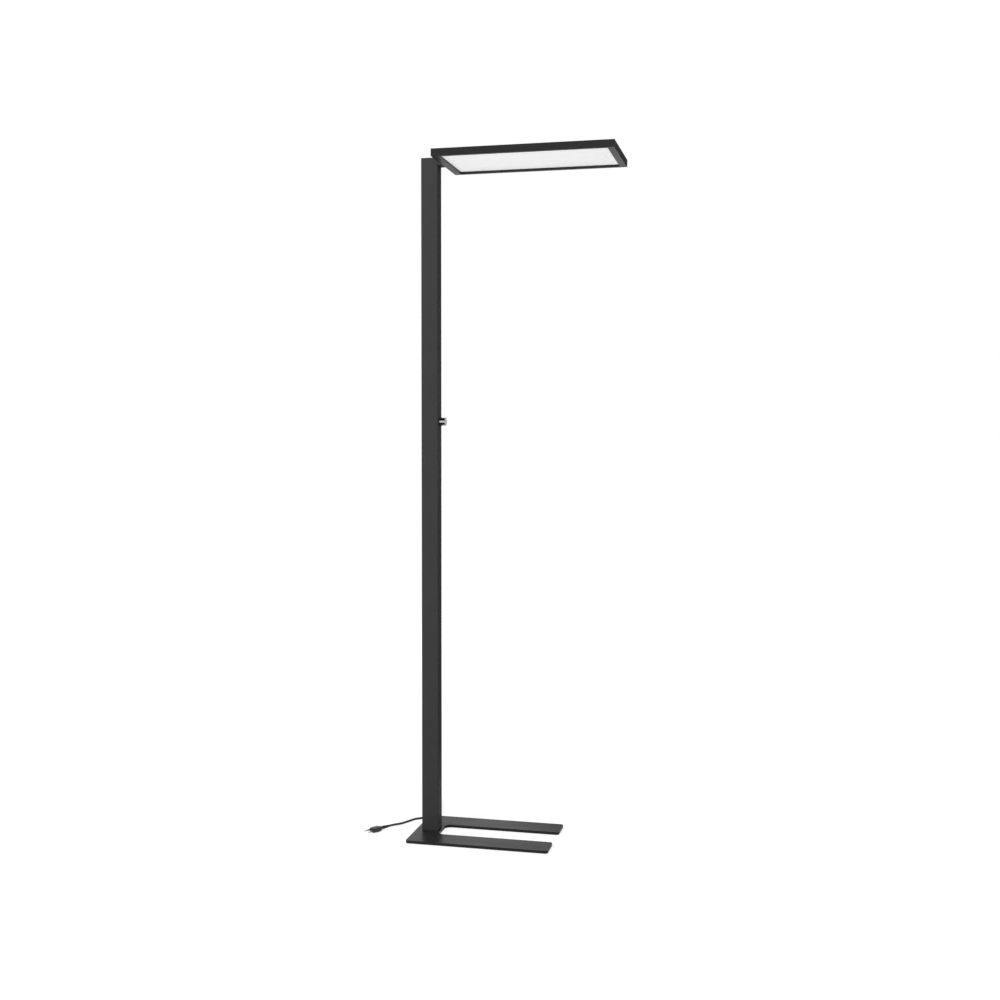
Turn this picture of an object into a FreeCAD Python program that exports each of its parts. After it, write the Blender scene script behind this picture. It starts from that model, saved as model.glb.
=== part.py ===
import FreeCAD, Part

import math
import os
import re

import Sketcher

V = FreeCAD.Vector

# Office floor lamp. The origin is on the floor, on the pole's axis. +X runs along the light
# head, +Y to the lead's side and +Z up. All sizes are in millimetres.
SIZES = {
    "overall_height": 1950,
    # pole: a rectangular aluminium extrusion
    "pole_width": 49,
    "pole_depth": 40,
    "pole_wall": 2,
    "pole_corner": 1.6,
    "cap_thickness": 1.5,
    "cap_spigot": 6,
    # base: a U of steel plate on stick-on glides
    "base_length": 412,
    "base_width": 254,
    "base_overhang": 43,
    "plate_thickness": 8,
    "plate_corner": 9,
    "plate_edge_round": 0.8,
    "slot_width": 92,
    "slot_setback": 6,
    "slot_corner": 18,
    "glide_height": 1,
    "glide_across": 22,
    "glide_inset": 22,
    # foot block inside the pole and the screws that hold it
    "block_height": 16,
    "base_screw_across": 6,
    "base_screw_head": 10,
    "base_screw_head_height": 4,
    "base_screw_length": 15,
    "base_screw_spread_x": 30,
    "base_screw_spread_y": 18,
    "side_screw_across": 4,
    "side_screw_head": 7,
    "side_screw_head_height": 2.2,
    "side_screw_length": 8,
    "side_screw_spread": 10,
    # light head
    "head_length": 510,
    "head_width": 262,
    "head_height": 21,
    "head_gap": 12,
    "rail_wall": 1.8,
    "rail_round": 0.8,
    "side_bezel": 10,
    "end_bezel": 20,
    "bezel_depth": 7,
    "diffuser_overlap": 4,
    "diffuser_thickness": 2,
    "guide_thickness": 3,
    "guide_edge_gap": 1,
    "reflector_thickness": 0.5,
    "spreader_thickness": 1.5,
    "spreader_end_gap": 5,
    "strip_thickness": 1,
    "strip_height": 3,
    "strip_end_gap": 26,
    "board_thickness": 1,
    "board_length": 430,
    "board_width": 20,
    "board_spread": 120,
    "chip_width": 3,
    "chip_height": 0.8,
    "cover_thickness": 1.5,
    "window_length": 400,
    "window_width": 170,
    "window_overlap": 8,
    "window_thickness": 2,
    "window_corner": 8,
    # corner keys, posts and small screws of the head
    "key_height": 5,
    "key_end_leg": 40,
    "key_side_leg": 52,
    "post_in": 11,
    "post_across": 8,
    "post_neck": 6,
    "post_foot": 4,
    "small_screw_across": 3,
    "small_screw_head": 5.4,
    "small_screw_head_height": 1.8,
    "cover_screw_length": 8,
    "grub_length": 4.6,
    # joint between pole and head
    "backing_thickness": 5,
    "backing_width": 30,
    "backing_height": 12,
    "bracket_screw_across": 4,
    "bracket_screw_head": 7,
    "bracket_screw_head_height": 4,
    "bracket_screw_length": 14,
    "bracket_screw_spread": 20,
    "bracket_screw_up": 5.5,
    "passage_across": 8,
    "passage_up": 7.5,
    "head_screw_up": 16.7,
    "head_screw_head": 5,
    "head_screw_length": 8,
    # electrics in the pole
    "tray_width": 30,
    "tray_thickness": 1.5,
    "tray_low": 75,
    "tray_length": 480,
    "tray_screw_inset": 9,
    "tray_screw_length": 6,
    "driver_width": 30,
    "driver_depth": 21,
    "driver_low": 150,
    "driver_length": 360,
    "driver_tab": 9,
    "driver_tab_thickness": 2,
    "terminal_width": 22,
    "terminal_depth": 21,
    "terminal_low": 97,
    "terminal_height": 24,
    "terminal_screw_across": 3.5,
    "supply_lead_across": 5,
    "dimmer_lead_across": 3.5,
    "head_lead_across": 4,
    "head_lead_bend": 20,
    "head_lead_end_bend": 8,
    "head_terminal_front": 14,
    "head_terminal_length": 30,
    "head_terminal_width": 11,
    "head_terminal_height": 10,
    "led_wire_across": 1.6,
    "led_wire_bend": 3,
    "led_wire_in_end": 5,
    # rotary push dimmer
    "knob_height": 1200,
    "knob_across": 24,
    "knob_length": 16,
    "knob_round": 0.8,
    "knob_gap": 2.2,
    "knob_recess_across": 18,
    "knob_recess_depth": 7,
    "knob_face_dish": 0.4,
    "push_travel": 1.5,
    "spindle_across": 6,
    "spindle_collar": 10,
    "spindle_collar_length": 2,
    "bushing_across": 9,
    "bushing_reach": 5,
    "bushing_flange": 13,
    "bushing_flange_thickness": 1.5,
    "nut_flats": 12,
    "nut_thickness": 2.4,
    "washer_across": 14,
    "washer_thickness": 0.6,
    "switch_side": 17,
    "switch_length": 15,
    "switch_bore": 13.2,
    "switch_back": 1.5,
    "plunger_across": 9,
    "plunger_length": 3,
    "spring_across": 8,
    "spring_wire": 0.6,
    "spring_turns": 5,
    "dimmer_board_width": 24,
    "dimmer_board_height": 32,
    "dimmer_board_thickness": 1.6,
    "connector_depth": 5.2,
    "connector_height": 8,
    # mains lead
    "lead_across": 6.5,
    "gland_height": 36,
    "gland_thread": 12,
    "gland_flange": 18,
    "gland_flange_thickness": 4,
    "gland_length": 7,
    "gland_nut_thickness": 4,
    "relief_length": 30,
    "relief_root": 11,
    "relief_tip": 7.6,
    "inner_lead_bend": 14,
    # hank behind the base, where the pole hides it
    "hank_place_x": -48.4,
    "hank_place_y": 159.5,
    "hank_heading": 16.17,
    "hank_run": 118,
    "hank_inner": 18,
    "hank_step": 7.6,
    "hank_waist": 12,
    "hank_layer_gap": 0.6,
    "tie_width": 8,
    "tie_thickness": 1.2,
    # plug at the visible end
    "plug_place_x": -134.5,
    "plug_place_y": -3.5,
    "plug_heading": 236.5,
    "plug_relief_length": 24,
    "plug_relief_root": 10.5,
    "plug_length": 36,
    "plug_width": 26,
    "plug_tail_width": 14,
    "plug_nose_width": 22,
    "plug_thickness": 13.7,
    "plug_round": 2.5,
    "pin_across": 4,
    "pin_length": 19,
    "pin_spacing": 18.6,
    "pin_root": 6,
    # clearances
    "screw_clearance": 0.4,
    "thread_clearance": 0.2,
    "running_clearance": 0.06,
    "fit_clearance": 0.2,
    "soft_clearance": 0.3,
}

# Places worked out from the sizes above.
DERIVED = {
    "plate_top": "glide_height + plate_thickness",
    "base_near_x": "-base_overhang",
    "base_far_x": "base_length - base_overhang",
    "slot_end_x": "pole_width / 2 + slot_setback",
    "pole_side": "pole_width / 2",
    "pole_back": "pole_depth / 2",
    "bore_side": "pole_width / 2 - pole_wall",
    "bore_back": "pole_depth / 2 - pole_wall",
    "tube_top": "overall_height - cap_thickness",
    "block_middle": "plate_top + block_height / 2",
    "head_low": "overall_height - head_height",
    "head_near_x": "pole_side + head_gap",
    "head_middle": "head_near_x + head_length / 2",
    "half_length": "head_length / 2",
    "half_width": "head_width / 2",
    "lip_top": "head_low + bezel_depth",
    "diffuser_top": "lip_top + diffuser_thickness",
    "guide_top": "diffuser_top + guide_thickness",
    "reflector_top": "guide_top + reflector_thickness",
    "spreader_top": "reflector_top + spreader_thickness",
    "cover_low": "overall_height - cover_thickness",
    "guide_in_side": "rail_wall + strip_thickness + chip_height + guide_edge_gap",
    "guide_in_end": "end_bezel - diffuser_overlap + guide_edge_gap",
    "key_low": "head_low + rail_wall",
    "key_top": "head_low + rail_wall + key_height",
    "post_in_side": "rail_wall + post_across / 2 + 5",
    "passage_height": "head_low + passage_up",
    "bracket_screw_height": "head_low + bracket_screw_up",
    "head_screw_height": "head_low + head_screw_up",
    "tray_front": "bore_back - fit_clearance - tray_thickness",
    "flange_back_x": "bore_side - bushing_flange_thickness",
    "switch_back_x": "flange_back_x - switch_length",
    "spring_seat_x": "switch_back_x + switch_back",
    "collar_front_x": "flange_back_x - running_clearance",
    "collar_back_x": "collar_front_x - spindle_collar_length",
    "plunger_front_x": "collar_back_x - running_clearance",
    "plunger_back_x": "plunger_front_x - plunger_length",
    "knob_back_x": "pole_side + knob_gap",
    "knob_front_x": "knob_back_x + knob_length",
    "spindle_end_x": "knob_front_x - 3",
    "board_front_x": "switch_back_x",
    "board_back_x": "switch_back_x - dimmer_board_thickness",
    "connector_back_x": "board_back_x - connector_depth",
    "connector_low": "knob_height - dimmer_board_height / 2 + 2",
    "relief_end_y": "pole_back + gland_flange_thickness + relief_length",
    "gland_back_y": "pole_back - gland_length",
    "lead_low": "lead_across / 2",
    "tray_screw_low": "tray_low + tray_screw_inset",
    "tray_screw_high": "tray_low + tray_length - tray_screw_inset",
    "terminal_middle_y": "tray_front - terminal_depth / 2",
    "head_terminal_low_x": "head_near_x + rail_wall + 1",
    "head_terminal_middle_x": "head_terminal_low_x + head_terminal_width / 2",
    "grub_x": "(knob_back_x + knob_recess_depth + spindle_end_x) / 2",
}

WAYS = {
    "+X": FreeCAD.Rotation(V(0, 1, 0), 90),
    "-X": FreeCAD.Rotation(V(0, 1, 0), -90),
    "+Y": FreeCAD.Rotation(V(1, 0, 0), -90),
    "-Y": FreeCAD.Rotation(V(1, 0, 0), 90),
    "+Z": FreeCAD.Rotation(),
    "-Z": FreeCAD.Rotation(V(1, 0, 0), 180),
}

doc = FreeCAD.newDocument("floor_lamp")
sheet = doc.addObject("Spreadsheet::Sheet", "sizes")
for row, (word, size) in enumerate(SIZES.items(), start=1):
    sheet.set(f"A{row}", word)
    sheet.set(f"B{row}", str(size))
    sheet.setAlias(f"B{row}", word)
doc.recompute()

nodes = []


# ---- small helpers -----------------------------------------------------------------


def linked(text):
    """A formula with each named size replaced by its cell in the sheet."""

    def swap(match):
        word = match.group(0)
        if word in SIZES:
            return "sizes." + word
        if word in DERIVED:
            return "(" + linked(DERIVED[word]) + ")"
        return word

    return re.sub(r"[a-z][a-z_0-9]*", swap, str(text))


def value(text):
    """The number that a formula gives."""
    return float(sheet.evalExpression(linked(text)))


def point(x, y, z):
    return V(value(x), value(y), value(z))


def bind(thing, path, text):
    thing.setExpression(path, linked(text))


def put(thing, at, way="+Z"):
    thing.Placement = FreeCAD.Placement(V(), WAYS[way])
    for letter, text in zip("xyz", at):
        bind(thing, "Placement.Base." + letter, text)
    return thing


def node(thing, label):
    """Name a finished piece: its label names its file."""
    thing.Label = label
    nodes.append(thing)
    return thing


def block(at, size):
    """A box from its lowest corner."""
    made = doc.addObject("Part::Box", "block")
    for side, text in zip(("Length", "Width", "Height"), size):
        bind(made, side, text)
    return put(made, at)


def rod(across, long, at, way="+Z"):
    made = doc.addObject("Part::Cylinder", "rod")
    bind(made, "Radius", f"({across}) / 2")
    bind(made, "Height", long)
    return put(made, at, way)


def cone(root, tip, long, at, way="+Z"):
    made = doc.addObject("Part::Cone", "cone")
    bind(made, "Radius1", f"({root}) / 2")
    bind(made, "Radius2", f"({tip}) / 2")
    bind(made, "Height", long)
    return put(made, at, way)


def hexagon(flats, long, at, way="+Z"):
    made = doc.addObject("Part::Prism", "hexagon")
    made.Polygon = 6
    bind(made, "Circumradius", f"({flats}) / sqrt(3)")
    bind(made, "Height", long)
    return put(made, at, way)


def joined(*shapes):
    made = doc.addObject("Part::MultiFuse", "joined")
    made.Shapes = list(shapes)
    return made


def less(base, *tools):
    made = doc.addObject("Part::Cut", "less")
    made.Base = base
    made.Tool = tools[0] if len(tools) == 1 else joined(*tools)
    return made


def group(shapes):
    made = doc.addObject("Part::Compound", "group")
    made.Links = list(shapes)
    return made


def ahead(at, way, far):
    """A place moved a distance along a way."""
    step = WAYS[way].multVec(V(0, 0, 1))
    return tuple(f"{text} + ({round(part)}) * ({far})" for text, part in zip(at, step))


def cap_screw(across, head, head_height, long, at, way):
    """A screw with a round head and a hexagon socket. It starts at the head's seat and goes along its way."""
    shank = rod(across, long, at, way)
    top = rod(head, head_height, ahead(at, way, f"-({head_height})"), way)
    deep = f"({head_height}) / 2"
    socket = hexagon(f"({across}) * 0.7", deep, ahead(at, way, f"-({head_height})"), way)
    return less(joined(shank, top), socket)


def new_body():
    return doc.addObject("PartDesign::Body", "body")


def new_sketch(body, plane, away, origin=("0", "0")):
    """A sketch on one of the body's own planes. away is its place along the third axis."""
    made = body.newObject("Sketcher::SketchObject", "sketch")
    own = [f for f in body.Origin.OriginFeatures if f.Role == plane + "_Plane"]
    made.AttachmentSupport = [(own[0], "")]
    made.MapMode = "FlatFace"
    bind(made, "AttachmentOffset.Base.x", origin[0])
    bind(made, "AttachmentOffset.Base.y", origin[1])
    bind(made, "AttachmentOffset.Base.z", f"-({away})" if plane == "XZ" else away)
    return made


def outline(sketch, points):
    """A closed run of straight sides whose corners are bound to formulas."""
    first = sketch.GeometryCount
    places = [(value(x), value(y)) for x, y in points]
    for number, place in enumerate(places):
        after = places[(number + 1) % len(places)]
        sketch.addGeometry(Part.LineSegment(V(*place, 0), V(*after, 0)))
    for number in range(len(places)):
        after = first + (number + 1) % len(places)
        sketch.addConstraint(Sketcher.Constraint("Coincident", first + number, 2, after, 1))
    for number, (point_text, place) in enumerate(zip(points, places)):
        pin(sketch, first + number, 1, point_text, place)
    return sketch


def pin(sketch, geometry, end, texts, place):
    """Hold one point of a sketch at a bound place."""
    for kind, text, size in zip(("DistanceX", "DistanceY"), texts, place):
        held = Sketcher.Constraint(kind, -1, 1, geometry, end, size)
        bind(sketch, f"Constraints[{sketch.addConstraint(held)}]", text)


def circle(sketch, at, across):
    place = [value(text) for text in at]
    radius = value(across) / 2
    number = sketch.addGeometry(Part.Circle(V(*place, 0), V(0, 0, 1), radius))
    pin(sketch, number, 3, at, place)
    size = Sketcher.Constraint("Diameter", number, radius * 2)
    bind(sketch, f"Constraints[{sketch.addConstraint(size)}]", across)
    return sketch


def rectangle(low, high):
    """The corners of an upright rectangle, for an outline."""
    return [(low[0], low[1]), (high[0], low[1]), (high[0], high[1]), (low[0], high[1])]


def pad(body, sketch, long):
    """Thicken a sketch towards the positive end of its third axis."""
    made = body.newObject("PartDesign::Pad", "pad")
    made.Profile = sketch
    bind(made, "Length", long)
    made.Reversed = sketch.AttachmentSupport[0][0].Role == "XZ_Plane"
    doc.recompute()
    return made


def pocket(body, sketch, deep):
    """Cut a sketch towards the positive end of its third axis."""
    before = body.Shape.Volume
    made = body.newObject("PartDesign::Pocket", "pocket")
    made.Profile = sketch
    bind(made, "Length", deep)
    made.Reversed = sketch.AttachmentSupport[0][0].Role != "XZ_Plane"
    doc.recompute()
    if body.Shape.Volume >= before:
        raise RuntimeError("a pocket cuts nothing")
    return made


def turned(plane, away, origin, points):
    """A body turned from an outline about the horizontal axis of its sketch."""
    body = new_body()
    sketch = outline(new_sketch(body, plane, away, origin), points)
    made = body.newObject("PartDesign::Revolution", "turned")
    made.Profile = sketch
    made.ReferenceAxis = (sketch, ["H_Axis"])
    made.Angle = 360
    doc.recompute()
    return body


def dress(body, kind, size, wanted):
    """Round or chamfer the edges of a body that the test picks out."""
    tip = body.Tip
    picked = [f"Edge{n}" for n, edge in enumerate(tip.Shape.Edges, start=1) if wanted(edge)]
    made = body.newObject("PartDesign::" + kind, "dress")
    made.Base = (tip, picked)
    bind(made, "Radius" if kind == "Fillet" else "Size", size)
    doc.recompute()
    return made


def runs_along(edge, axis):
    """Whether a straight edge lies along an axis."""
    if edge.Curve.TypeId != "Part::GeomLine":
        return False
    line = (edge.Vertexes[-1].Point - edge.Vertexes[0].Point).normalize()
    return abs(line * axis) > 0.999


X, Y, Z = V(1, 0, 0), V(0, 1, 0), V(0, 0, 1)


# ---- tubes along a route -----------------------------------------------------------


def arc_edge(start, way, end):
    """The arc that leaves start along way and reaches end, or a straight edge."""
    chord = end - start
    along = chord.normalize()
    chord = end - start
    side = way - along * (way * along)
    if side.Length < 1e-7:
        return Part.LineSegment(start, end).toShape()
    half = math.atan2(side.Length, way * along)
    rise = chord.Length / 2 * math.tan(half / 2)
    middle = (start + end) * 0.5 + side.normalize() * rise
    return Part.Arc(start, middle, end).toShape()


def biarc(start, way_out, end, way_in):
    """Two tangent arcs from one place and direction to the next."""
    gap = end - start
    a = 2 * (way_out * way_in - 1)
    b = -2 * (gap * (way_out + way_in))
    c = gap * gap
    if abs(a) < 1e-9:
        reach = -c / b
    else:
        reach = (-b - math.sqrt(b * b - 4 * a * c)) / (2 * a)
    one = start + way_out * reach
    two = end - way_in * reach
    middle = (one + two) * 0.5
    return [arc_edge(start, way_out, middle), arc_edge(end, way_in * -1, middle)]


def rounded_route(points, name):
    """Straight runs joined by tangent arcs, each as large as its two runs allow."""
    edges = []
    radii = []
    last = points[0]
    for before, corner, after in zip(points, points[1:], points[2:]):
        into = (corner - before).normalize()
        out = (after - corner).normalize()
        shorter = min((corner - before).Length, (after - corner).Length)
        cut = 0.45 * shorter
        half = math.acos(max(-1, min(1, into * out))) / 2
        radii.append(cut / math.tan(half))
        start = corner - into * cut
        edges.append(Part.LineSegment(last, start).toShape())
        last = corner + out * cut
        edges.append(arc_edge(start, into, last))
    edges.append(Part.LineSegment(last, points[-1]).toShape())
    print(name, "radii", [round(radius) for radius in radii])
    return edges


def tube(edges, across, label):
    """A solid tube along an unbroken route of edges."""
    path = Part.Wire(Part.__sortEdges__(edges))
    start = edges[0].Vertexes[0].Point
    way = edges[0].tangentAt(edges[0].FirstParameter)
    ring = Part.Wire(Part.makeCircle(across / 2, start, way))
    shape = path.makePipeShell([ring], True, False)
    wanted = math.pi * across**2 / 4 * path.Length
    print(f"{label}: length {path.Length:.0f}, volume {shape.Volume / wanted:.4f} of section times length")
    made = doc.addObject("Part::Feature", "tube")
    made.Shape = shape
    return node(made, label), path


# ---- base --------------------------------------------------------------------------


def base_plate():
    body = new_body()
    half = "base_width / 2"
    slot = "slot_width / 2"
    sketch = new_sketch(body, "XY", "glide_height")
    outline(
        sketch,
        [
            ("base_near_x", f"-{half}"),
            ("base_far_x", f"-{half}"),
            ("base_far_x", f"-{slot}"),
            ("slot_end_x", f"-{slot}"),
            ("slot_end_x", slot),
            ("base_far_x", slot),
            ("base_far_x", half),
            ("base_near_x", half),
        ],
    )
    pad(body, sketch, "plate_thickness")
    inner = value("slot_end_x") + 1
    outer = value("base_far_x") - 1
    half_slot = value(slot)

    def corner_of_slot(edge):
        place = edge.Vertexes[0].Point
        return runs_along(edge, Z) and abs(place.y) < half_slot + 1 and place.x < inner

    dress(body, "Fillet", "slot_corner", corner_of_slot)

    def outer_corner(edge):
        place = edge.Vertexes[0].Point
        corner = place.x > outer or place.x < value("base_near_x") + 1
        return runs_along(edge, Z) and corner

    dress(body, "Fillet", "plate_corner", outer_corner)
    top = value("plate_top")

    def top_edge(edge):
        return all(abs(spot.Point.z - top) < 1e-6 for spot in edge.Vertexes)

    dress(body, "Fillet", "plate_edge_round", top_edge)
    seats = new_sketch(body, "XY", "glide_height")
    holes = new_sketch(body, "XY", "glide_height")
    for x, y in screw_spots():
        circle(seats, (x, y), "base_screw_head + 2 * screw_clearance")
        circle(holes, (x, y), "base_screw_across + screw_clearance")
    pocket(body, seats, "base_screw_head_height + screw_clearance")
    pocket(body, holes, "plate_thickness")
    return node(body, "base_plate")


def screw_spots():
    return [
        (f"{x} * base_screw_spread_x / 2", f"{y} * base_screw_spread_y / 2")
        for x in (-1, 1)
        for y in (-1, 1)
    ]


def base_glides():
    side = "base_width / 2 - glide_inset"
    prong = "(base_width + slot_width) / 4"
    spots = [("0", "0")]
    for sign in ("-", ""):
        spots.append(("base_near_x + glide_inset", f"{sign}({side})"))
        spots.append(("base_far_x - glide_inset", f"{sign}({prong})"))
    pads = [rod("glide_across", "glide_height", (x, y, "0")) for x, y in spots]
    return node(group(pads), "base_glides")


def base_screws():
    seat = "glide_height + base_screw_head_height + screw_clearance"
    made = [
        cap_screw(
            "base_screw_across",
            "base_screw_head",
            "base_screw_head_height",
            "base_screw_length",
            (x, y, seat),
            "+Z",
        )
        for x, y in screw_spots()
    ]
    return node(group(made), "base_screws")


def foot_block():
    """The block that the base screws pull down, a sliding fit in the pole."""
    wide = "2 * bore_side - 2 * fit_clearance"
    deep = "2 * bore_back - 2 * fit_clearance"
    body = block((f"-({wide}) / 2", f"-({deep}) / 2", "plate_top"), (wide, deep, "block_height"))
    cuts = [
        rod("base_screw_across + thread_clearance", "block_height", (x, y, "plate_top"))
        for x, y in screw_spots()
    ]
    for at, way in side_screw_spots():
        cuts.append(rod("side_screw_across + thread_clearance", "side_screw_length + 1", at, way))
    return node(less(body, *cuts), "pole_foot_block")


def side_screw_spots():
    """Two screws on the pole's back and one on its side, each from the outer face inwards."""
    spots = [
        ((f"{sign} * side_screw_spread / 2", "pole_back", "block_middle"), "-Y")
        for sign in (-1, 1)
    ]
    return spots + [(("-pole_side", "0", "block_middle"), "+X")]


def foot_side_screws():
    made = [
        cap_screw(
            "side_screw_across",
            "side_screw_head",
            "side_screw_head_height",
            "side_screw_length",
            at,
            way,
        )
        for at, way in side_screw_spots()
    ]
    return node(group(made), "foot_side_screws")


# ---- pole --------------------------------------------------------------------------


def pole_tube():
    body = new_body()
    sketch = new_sketch(body, "XY", "plate_top")
    outline(sketch, rectangle(("-pole_side", "-pole_back"), ("pole_side", "pole_back")))
    outline(sketch, rectangle(("-bore_side", "-bore_back"), ("bore_side", "bore_back")))
    pad(body, sketch, "tube_top - plate_top")
    inside = value("bore_side") + 0.1

    def outer_edge(edge):
        return runs_along(edge, Z) and abs(edge.Vertexes[0].Point.x) > inside

    dress(body, "Fillet", "pole_corner", outer_edge)

    front = new_sketch(body, "YZ", "bore_side - 1")
    circle(front, ("0", "knob_height"), "bushing_across + thread_clearance")
    circle(front, ("0", "passage_height"), "passage_across")
    for sign in (-1, 1):
        at = (f"{sign} * bracket_screw_spread / 2", "bracket_screw_height")
        circle(front, at, "bracket_screw_across + screw_clearance")
    pocket(body, front, "pole_wall + 2")

    back = new_sketch(body, "XZ", "bore_back - 1")
    circle(back, ("0", "gland_height"), "gland_thread + thread_clearance")
    for sign in (-1, 1):
        at = (f"{sign} * side_screw_spread / 2", "block_middle")
        circle(back, at, "side_screw_across + screw_clearance")
    for height in ("tray_screw_low", "tray_screw_high"):
        circle(back, ("0", height), "small_screw_across + screw_clearance")
    pocket(body, back, "pole_wall + 2")

    side = new_sketch(body, "YZ", "-pole_side - 1")
    circle(side, ("0", "block_middle"), "side_screw_across + screw_clearance")
    pocket(body, side, "pole_wall + 2")
    return node(body, "pole_tube")


def pole_cap():
    body = new_body()
    plate = new_sketch(body, "XY", "tube_top")
    outline(plate, rectangle(("-pole_side", "-pole_back"), ("pole_side", "pole_back")))
    pad(body, plate, "cap_thickness")
    dress(body, "Fillet", "pole_corner", lambda edge: runs_along(edge, Z))
    top = value("overall_height")

    def rim(edge):
        return all(abs(spot.Point.z - top) < 1e-6 for spot in edge.Vertexes)

    dress(body, "Chamfer", "cap_thickness / 4", rim)
    spigot = new_sketch(body, "XY", "tube_top - cap_spigot")
    side = "bore_side - fit_clearance"
    back = "bore_back - fit_clearance"
    outline(spigot, rectangle((f"-({side})", f"-({back})"), (side, back)))
    thin = "pole_wall"
    outline(
        spigot,
        rectangle((f"-({side} - {thin})", f"-({back} - {thin})"), (f"{side} - {thin}", f"{back} - {thin}")),
    )
    pad(body, spigot, "cap_spigot")
    return node(body, "pole_top_cap")


# ---- light head --------------------------------------------------------------------


def head_spot(side_x, side_y, in_end, in_side):
    """A place in the head, from its nearest end and long side."""
    x = f"head_middle + ({side_x}) * (half_length - ({in_end}))"
    y = f"({side_y}) * (half_width - ({in_side}))"
    return x, y


def head_plate(in_end, in_side, low, thick):
    """A flat rectangle in the head, set in from its ends and sides."""
    at = (f"head_near_x + {in_end}", f"-(half_width - ({in_side}))", low)
    size = (f"head_length - 2 * ({in_end})", f"head_width - 2 * ({in_side})", thick)
    return block(at, size)


def rail_profile(across, bezel):
    """The section of a rail: an outer wall, a floor and an inner lip that carries the diffuser."""
    wall = "rail_wall"
    steps = [
        ("0", "0"),
        (bezel, "0"),
        (bezel, "bezel_depth"),
        (f"{bezel} - {wall}", "bezel_depth"),
        (f"{bezel} - {wall}", wall),
        (wall, wall),
        (wall, "head_height"),
        ("0", "head_height"),
    ]
    return [(across(inward), f"head_low + {up}") for inward, up in steps]


def mitres(body, corners):
    """Cut the rail's two ends along the line from the outer to the inner corner."""
    sketch = new_sketch(body, "XY", "head_low - 1")
    for corner in corners:
        outline(sketch, corner)
    pocket(body, sketch, "head_height + 2")


def round_rail(body, axis, outer):
    """Soften the two long outer edges."""
    ends = (value("head_low"), value("overall_height"))

    def wanted(edge):
        place = edge.Vertexes[0].Point
        level = min(abs(place.z - end) for end in ends) < 1e-6
        return runs_along(edge, axis) and outer(place) and level

    dress(body, "Fillet", "rail_round", wanted)


def side_rail(sign, label):
    body = new_body()
    sketch = new_sketch(body, "YZ", "head_near_x")

    def across(inward):
        return f"({sign}) * (half_width - ({inward}))"

    outline(sketch, rail_profile(across, "side_bezel"))
    pad(body, sketch, "head_length")
    edge_y = value(across("0"))
    round_rail(body, X, lambda place: abs(place.y - edge_y) < 1e-6)
    corners = []
    for end in (-1, 1):
        outer = head_spot(end, sign, "0", "0")
        inner = head_spot(end, sign, "end_bezel", "side_bezel")
        past = head_spot(end, sign, "-1", "side_bezel")
        level = head_spot(end, sign, "-1", "-side_bezel / end_bezel")
        corners.append([outer, inner, past, level])
    mitres(body, corners)
    return node(body, label)


def end_rail(sign, label):
    body = new_body()
    sketch = new_sketch(body, "XZ", "-half_width")

    def across(inward):
        return f"head_middle + ({sign}) * (half_length - ({inward}))"

    outline(sketch, rail_profile(across, "end_bezel"))
    pad(body, sketch, "head_width")
    edge_x = value(across("0"))
    round_rail(body, Y, lambda place: abs(place.x - edge_x) < 1e-6)
    corners = []
    for side in (-1, 1):
        outer = head_spot(sign, side, "0", "0")
        inner = head_spot(sign, side, "end_bezel", "side_bezel")
        past = head_spot(sign, side, "end_bezel", "-1")
        level = head_spot(sign, side, "-end_bezel / side_bezel", "-1")
        corners.append([outer, inner, past, level])
    mitres(body, corners)
    if sign == -1:
        holes = new_sketch(body, "YZ", "head_near_x - 1")
        circle(holes, ("0", "passage_height"), "passage_across")
        for side in (-1, 1):
            at = (f"{side} * bracket_screw_spread / 2", "head_screw_height")
            circle(holes, at, "small_screw_across + screw_clearance")
        pocket(body, holes, "rail_wall + 2")
    return node(body, label)


CORNERS = [(-1, -1), (-1, 1), (1, -1), (1, 1)]


def corner_keys():
    """An angle in each corner's channel, with holes for a post and two grub screws."""
    keys = []
    near = "rail_wall + fit_clearance / 2"
    end_in = "end_bezel - rail_wall - fit_clearance / 2"
    side_in = "side_bezel - rail_wall - fit_clearance / 2"
    for side_x, side_y in CORNERS:
        body = new_body()
        sketch = new_sketch(body, "XY", "key_low")
        steps = [
            (near, near),
            (f"{near} + key_side_leg", near),
            (f"{near} + key_side_leg", side_in),
            (end_in, side_in),
            (end_in, f"{near} + key_end_leg"),
            (near, f"{near} + key_end_leg"),
        ]
        outline(sketch, [head_spot(side_x, side_y, *step) for step in steps])
        pad(body, sketch, "key_height")
        holes = new_sketch(body, "XY", "key_low")
        for step in grub_steps():
            circle(holes, head_spot(side_x, side_y, *step), "small_screw_across + thread_clearance")
        circle(
            holes,
            head_spot(side_x, side_y, "post_in", "post_in_side"),
            "post_foot + thread_clearance",
        )
        pocket(body, holes, "key_height")
        keys.append(body)
    return node(group(keys), "corner_keys")


def grub_steps():
    return [
        ("end_bezel / 2", "key_end_leg - 6"),
        ("key_side_leg - 8", "side_bezel / 2"),
    ]


def key_grub_screws():
    made = []
    for side_x, side_y in CORNERS:
        for step in grub_steps():
            x, y = head_spot(side_x, side_y, *step)
            shank = rod("small_screw_across", "grub_length", (x, y, "key_low"))
            socket = hexagon("1.5", "1.5", (x, y, "key_low + grub_length - 1.5"))
            made.append(less(shank, socket))
    return node(group(made), "key_grub_screws")


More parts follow.
